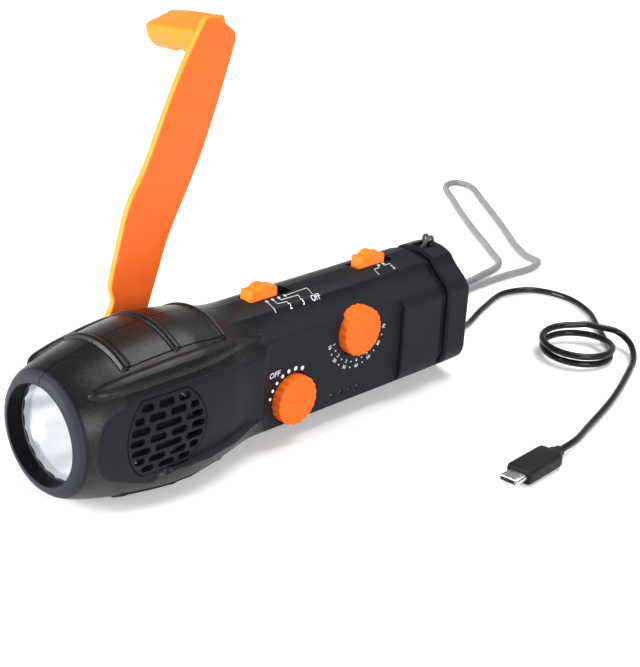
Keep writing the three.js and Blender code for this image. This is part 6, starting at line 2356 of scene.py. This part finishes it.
@dataclass
class Marks:
    """The white print beside the knobs and the slide switches."""

    finishes: dict[str, Material]
    housing: Housing
    sizes: MarkSizes = field(default_factory=MarkSizes)

    def panel(self) -> Thing:
        """The volume dots and the tuning scale on the sunk panel."""
        s = self.sizes
        volume, tuning = self.housing.sizes.knob_spots
        sheet = Sheet()
        for angle, radius in s.volume_dots:
            sheet.dot(polar(volume, s.volume_reach, angle), radius)
        sheet.word("OFF", s.off_at, s.off_letter * s.letter, 92.0, 0.2)
        for reach, step in zip(s.scale_reaches, s.scale_steps):
            for k in range(s.scale_count):
                for half in (0.0, 0.5)[: 1 if k == s.scale_count - 1 else 2]:
                    angle = s.scale_start + s.scale_pitch * (k + half)
                    at = polar(tuning, reach, angle)
                    if half:
                        sheet.dot(at, s.scale_dot, 12)
                    else:
                        sheet.word(str(step * (k + 1)), at, s.scale_letter, angle + 180.0)
        spots = [(x, s.panel_plane - s.lift, z) for x, z in sheet.spots]
        obj = mesh_object("panel_print", to_part(np.array(spots)), sheet.faces)
        return finish_piece(obj, Body.HOUSING, self.finishes["print"], "white_board")

    def switches(self, shell: Thing) -> Thing:
        """The stops, leader lines and numbers of the slide switches, laid on the shell.

        Args:
            shell: The near shell.

        Returns:
            The print.
        """
        s = self.sizes
        sheet = Sheet()
        for at in s.stop_dots:
            sheet.dot(at, s.stop_dot, 16)
        for leader in s.leaders:
            sheet.line(leader, s.line)
        for text, x, y in s.stop_words:
            sheet.word(text, (x, y), s.letter)
        spots = [(x, y, s.over_shell) for x, y in sheet.spots]
        obj = mesh_object("switch_print", to_part(np.array(spots)), sheet.faces)
        made = bmesh.new()
        made.from_mesh(obj.data)
        bmesh.ops.triangulate(made, faces=made.faces)
        for _ in range(2):
            long = [edge for edge in made.edges if edge.calc_length() > s.fine * MM]
            bmesh.ops.subdivide_edges(made, edges=long, cuts=1)
            bmesh.ops.triangulate(made, faces=made.faces)
        for vert in made.verts:
            _, place, normal, _ = shell.ray_cast(vert.co, Vector((0, 0, -1)))
            vert.co = place + normal * s.top_lift * MM
        made.to_mesh(obj.data)
        made.free()
        return finish_piece(obj, Body.HOUSING, self.finishes["print"], "white_board")

    def build(self, shell: Thing) -> None:
        """Prints every mark.

        Args:
            shell: The near shell, which the switches' marks are laid on.
        """
        self.panel()
        self.switches(shell)


# Camera, light and floor


@dataclass
class StudioSizes:
    """Camera, lamps and floor; places in metres of the part's frame."""

    camera_at: Spot = (-0.3413, -0.3956, 0.2745)
    camera_right: Spot = (0.7031, -0.7088, 0.0563)
    camera_up: Spot = (0.2424, 0.3133, 0.9182)
    camera_ahead: Spot = (0.6685, 0.6320, -0.3921)
    lens: float = 90.0
    sensor: float = 36.0
    room_light: float = 0.3
    ceiling_gloss: float = 0.1
    ceiling_from: Pair = (0.02, 0.55)
    floor_half: float = 3.0
    floor_drop: float = 0.0003
    floor_glow: float = 0.22
    glow_reach: Pair = (0.16, 0.6)
    lamps: tuple[tuple[str, Spot, Spot, float, float], ...] = (
        ("key", (-1.05, 0.5, 0.42), (0.03, 0.03, 0.08), 0.6, 26.0),
        ("top", (0.5, -0.1, 1.05), (0.0, 0, 0.03), 0.6, 9.0),
        ("front", (-0.35, -1.3, 0.55), (0.02, 0, 0.05), 0.7, 13.0),
    )


@dataclass
class Studio:
    """The camera, the soft lamps, the white surroundings and the floor."""

    sizes: StudioSizes = field(default_factory=StudioSizes)

    def camera(self) -> None:
        """The camera at the photograph's place."""
        s = self.sizes
        data = bpy.data.cameras.new("camera")
        data.sensor_fit = "HORIZONTAL"
        data.sensor_width = s.sensor
        data.lens = s.lens
        data.clip_start = 0.01
        obj = linked("camera", data)
        axes = zip(s.camera_right, s.camera_up, s.camera_ahead, s.camera_at)
        obj.matrix_world = Matrix((*((x, y, -z, at) for x, y, z, at in axes), (0, 0, 0, 1)))
        bpy.context.scene.camera = obj

    def seen(self, kit: Nodes) -> Socket:
        """Finds rays from the camera, from gloss and through glass.

        Args:
            kit: The nodes that it is added to.

        Returns:
            1 for these rays and 0 for all others.
        """
        path = kit.add("ShaderNodeLightPath")
        return kit.math("MAXIMUM", path.outputs["Is Camera Ray"], kit.math(
            "MAXIMUM", path.outputs["Is Glossy Ray"], path.outputs["Is Transmission Ray"]))

    def surroundings(self) -> None:
        """White behind everything, darker overhead in gloss, and an even light of its own."""
        s = self.sizes
        world = bpy.data.worlds.new("studio")
        bpy.context.scene.world = world
        world.use_nodes = True
        kit = Nodes(world.node_tree)
        shader = world.node_tree.nodes["Background"]
        way = kit.add("ShaderNodeSeparateXYZ", None, Vector=kit.place("Generated"))
        path = kit.add("ShaderNodeLightPath")
        gloss = kit.span(way.outputs[2], *s.ceiling_from, 1.0, s.ceiling_gloss)
        seen = kit.math("MAXIMUM", path.outputs["Is Camera Ray"], path.outputs["Is Transmission Ray"])
        level = kit.math("MAXIMUM", seen, kit.math("MULTIPLY", path.outputs["Is Glossy Ray"], gloss))
        kit.feed(shader, Color=(1, 1, 1), Strength=kit.math("MAXIMUM", level, s.room_light))

    def lamp(self, name: str, at: Spot, aim: Spot, size: float, power: float) -> None:
        """A square soft lamp.

        Args:
            name: Its name.
            at: Its place in metres.
            aim: The point that it faces.
            size: Its side in metres.
            power: Watts.
        """
        data = bpy.data.lights.new(name, "AREA")
        data.size = size
        data.energy = power
        obj = linked(name, data)
        obj.location = at
        obj.rotation_mode = "QUATERNION"
        obj.rotation_quaternion = (Vector(aim) - Vector(at)).to_track_quat("-Z", "Y")

    def floor(self) -> None:
        """A pale floor that shows the part's soft shadow."""
        s = self.sizes
        half, drop = s.floor_half / MM, -s.floor_drop / MM
        corners = [(-half, -half, drop), (half, -half, drop), (half, half, drop), (-half, half, drop)]
        obj = mesh_object("floor", np.array(corners), [(0, 1, 2, 3)])
        material, kit, shader = started("floor_paper", 0.9)
        reach = kit.add("ShaderNodeVectorMath", {"operation": "LENGTH"}, Vector=kit.place())
        glow = kit.span(reach.outputs["Value"], *s.glow_reach, s.floor_glow, 1.0)
        tone = kit.mix(kit.noise(Scale=3.0, Detail=2.0), (0.9, 0.9, 0.9), (0.92, 0.92, 0.92))
        kit.feed(shader, Base_Color=tone, Specular_IOR_Level=0.0, Emission_Color=(1, 1, 1),
                 Emission_Strength=kit.math("MULTIPLY", self.seen(kit), glow))
        obj.data.materials.append(material)
        obj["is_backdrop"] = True

    def build(self) -> None:
        """Makes the lamps, the surroundings and the floor."""
        self.surroundings()
        for lamp in self.sizes.lamps:
            self.lamp(*lamp)
        self.floor()


# The whole part


class Flashlight:
    """The hand crank flashlight: every sub-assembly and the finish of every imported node."""

    def __init__(self) -> None:
        """Builds the finishes and prepares the housing and the repeated parts."""
        self.finishes = all_finishes()
        self.housing = Housing(self.finishes)
        self.repeats = Repeats()

    def cords(self) -> None:
        """The lead and the strap."""
        Cords(self.finishes).build()

    def dress_nodes(self) -> None:
        """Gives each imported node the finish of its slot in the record."""
        slots = {row["node"]: row["material_slot"] for row in frame["record"]["subparts"]}
        for name, obj in frame["nodes"].items():
            material = self.finishes[slots[name]]
            if not obj.data.materials:
                obj.data.materials.append(material)
            for index in range(len(obj.data.materials)):
                obj.data.materials[index] = material
            LOG.info("%s wears %s", name, material.name)

    def build(self) -> None:
        """Makes everything but the cords."""
        near_shell = self.housing.shell(True)
        self.housing.shell(False)
        Front(self.finishes, self.housing, self.repeats).build()
        Crank(self.finishes).build()
        Tail(self.finishes, self.housing).build()
        Marks(self.finishes, self.housing).build(near_shell)
        self.dress_nodes()


def write_sizes() -> None:
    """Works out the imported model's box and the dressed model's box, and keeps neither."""
    boxes = {"cad": CAD_BOUNDS, "visual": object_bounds()}
    {name: [list(map(float, corner)) for corner in box] for name, box in boxes.items()}


def main() -> None:
    """Makes the scene: camera and cords first, then the part and its studio."""
    logging.basicConfig(level=logging.INFO, format="%(name)s: %(message)s")
    bpy.context.scene.view_settings.view_transform = "Standard"
    studio = Studio()
    studio.camera()
    light = Flashlight()
    light.cords()
    light.build()
    studio.build()
    write_sizes()


if __name__ == "__main__":
    main()
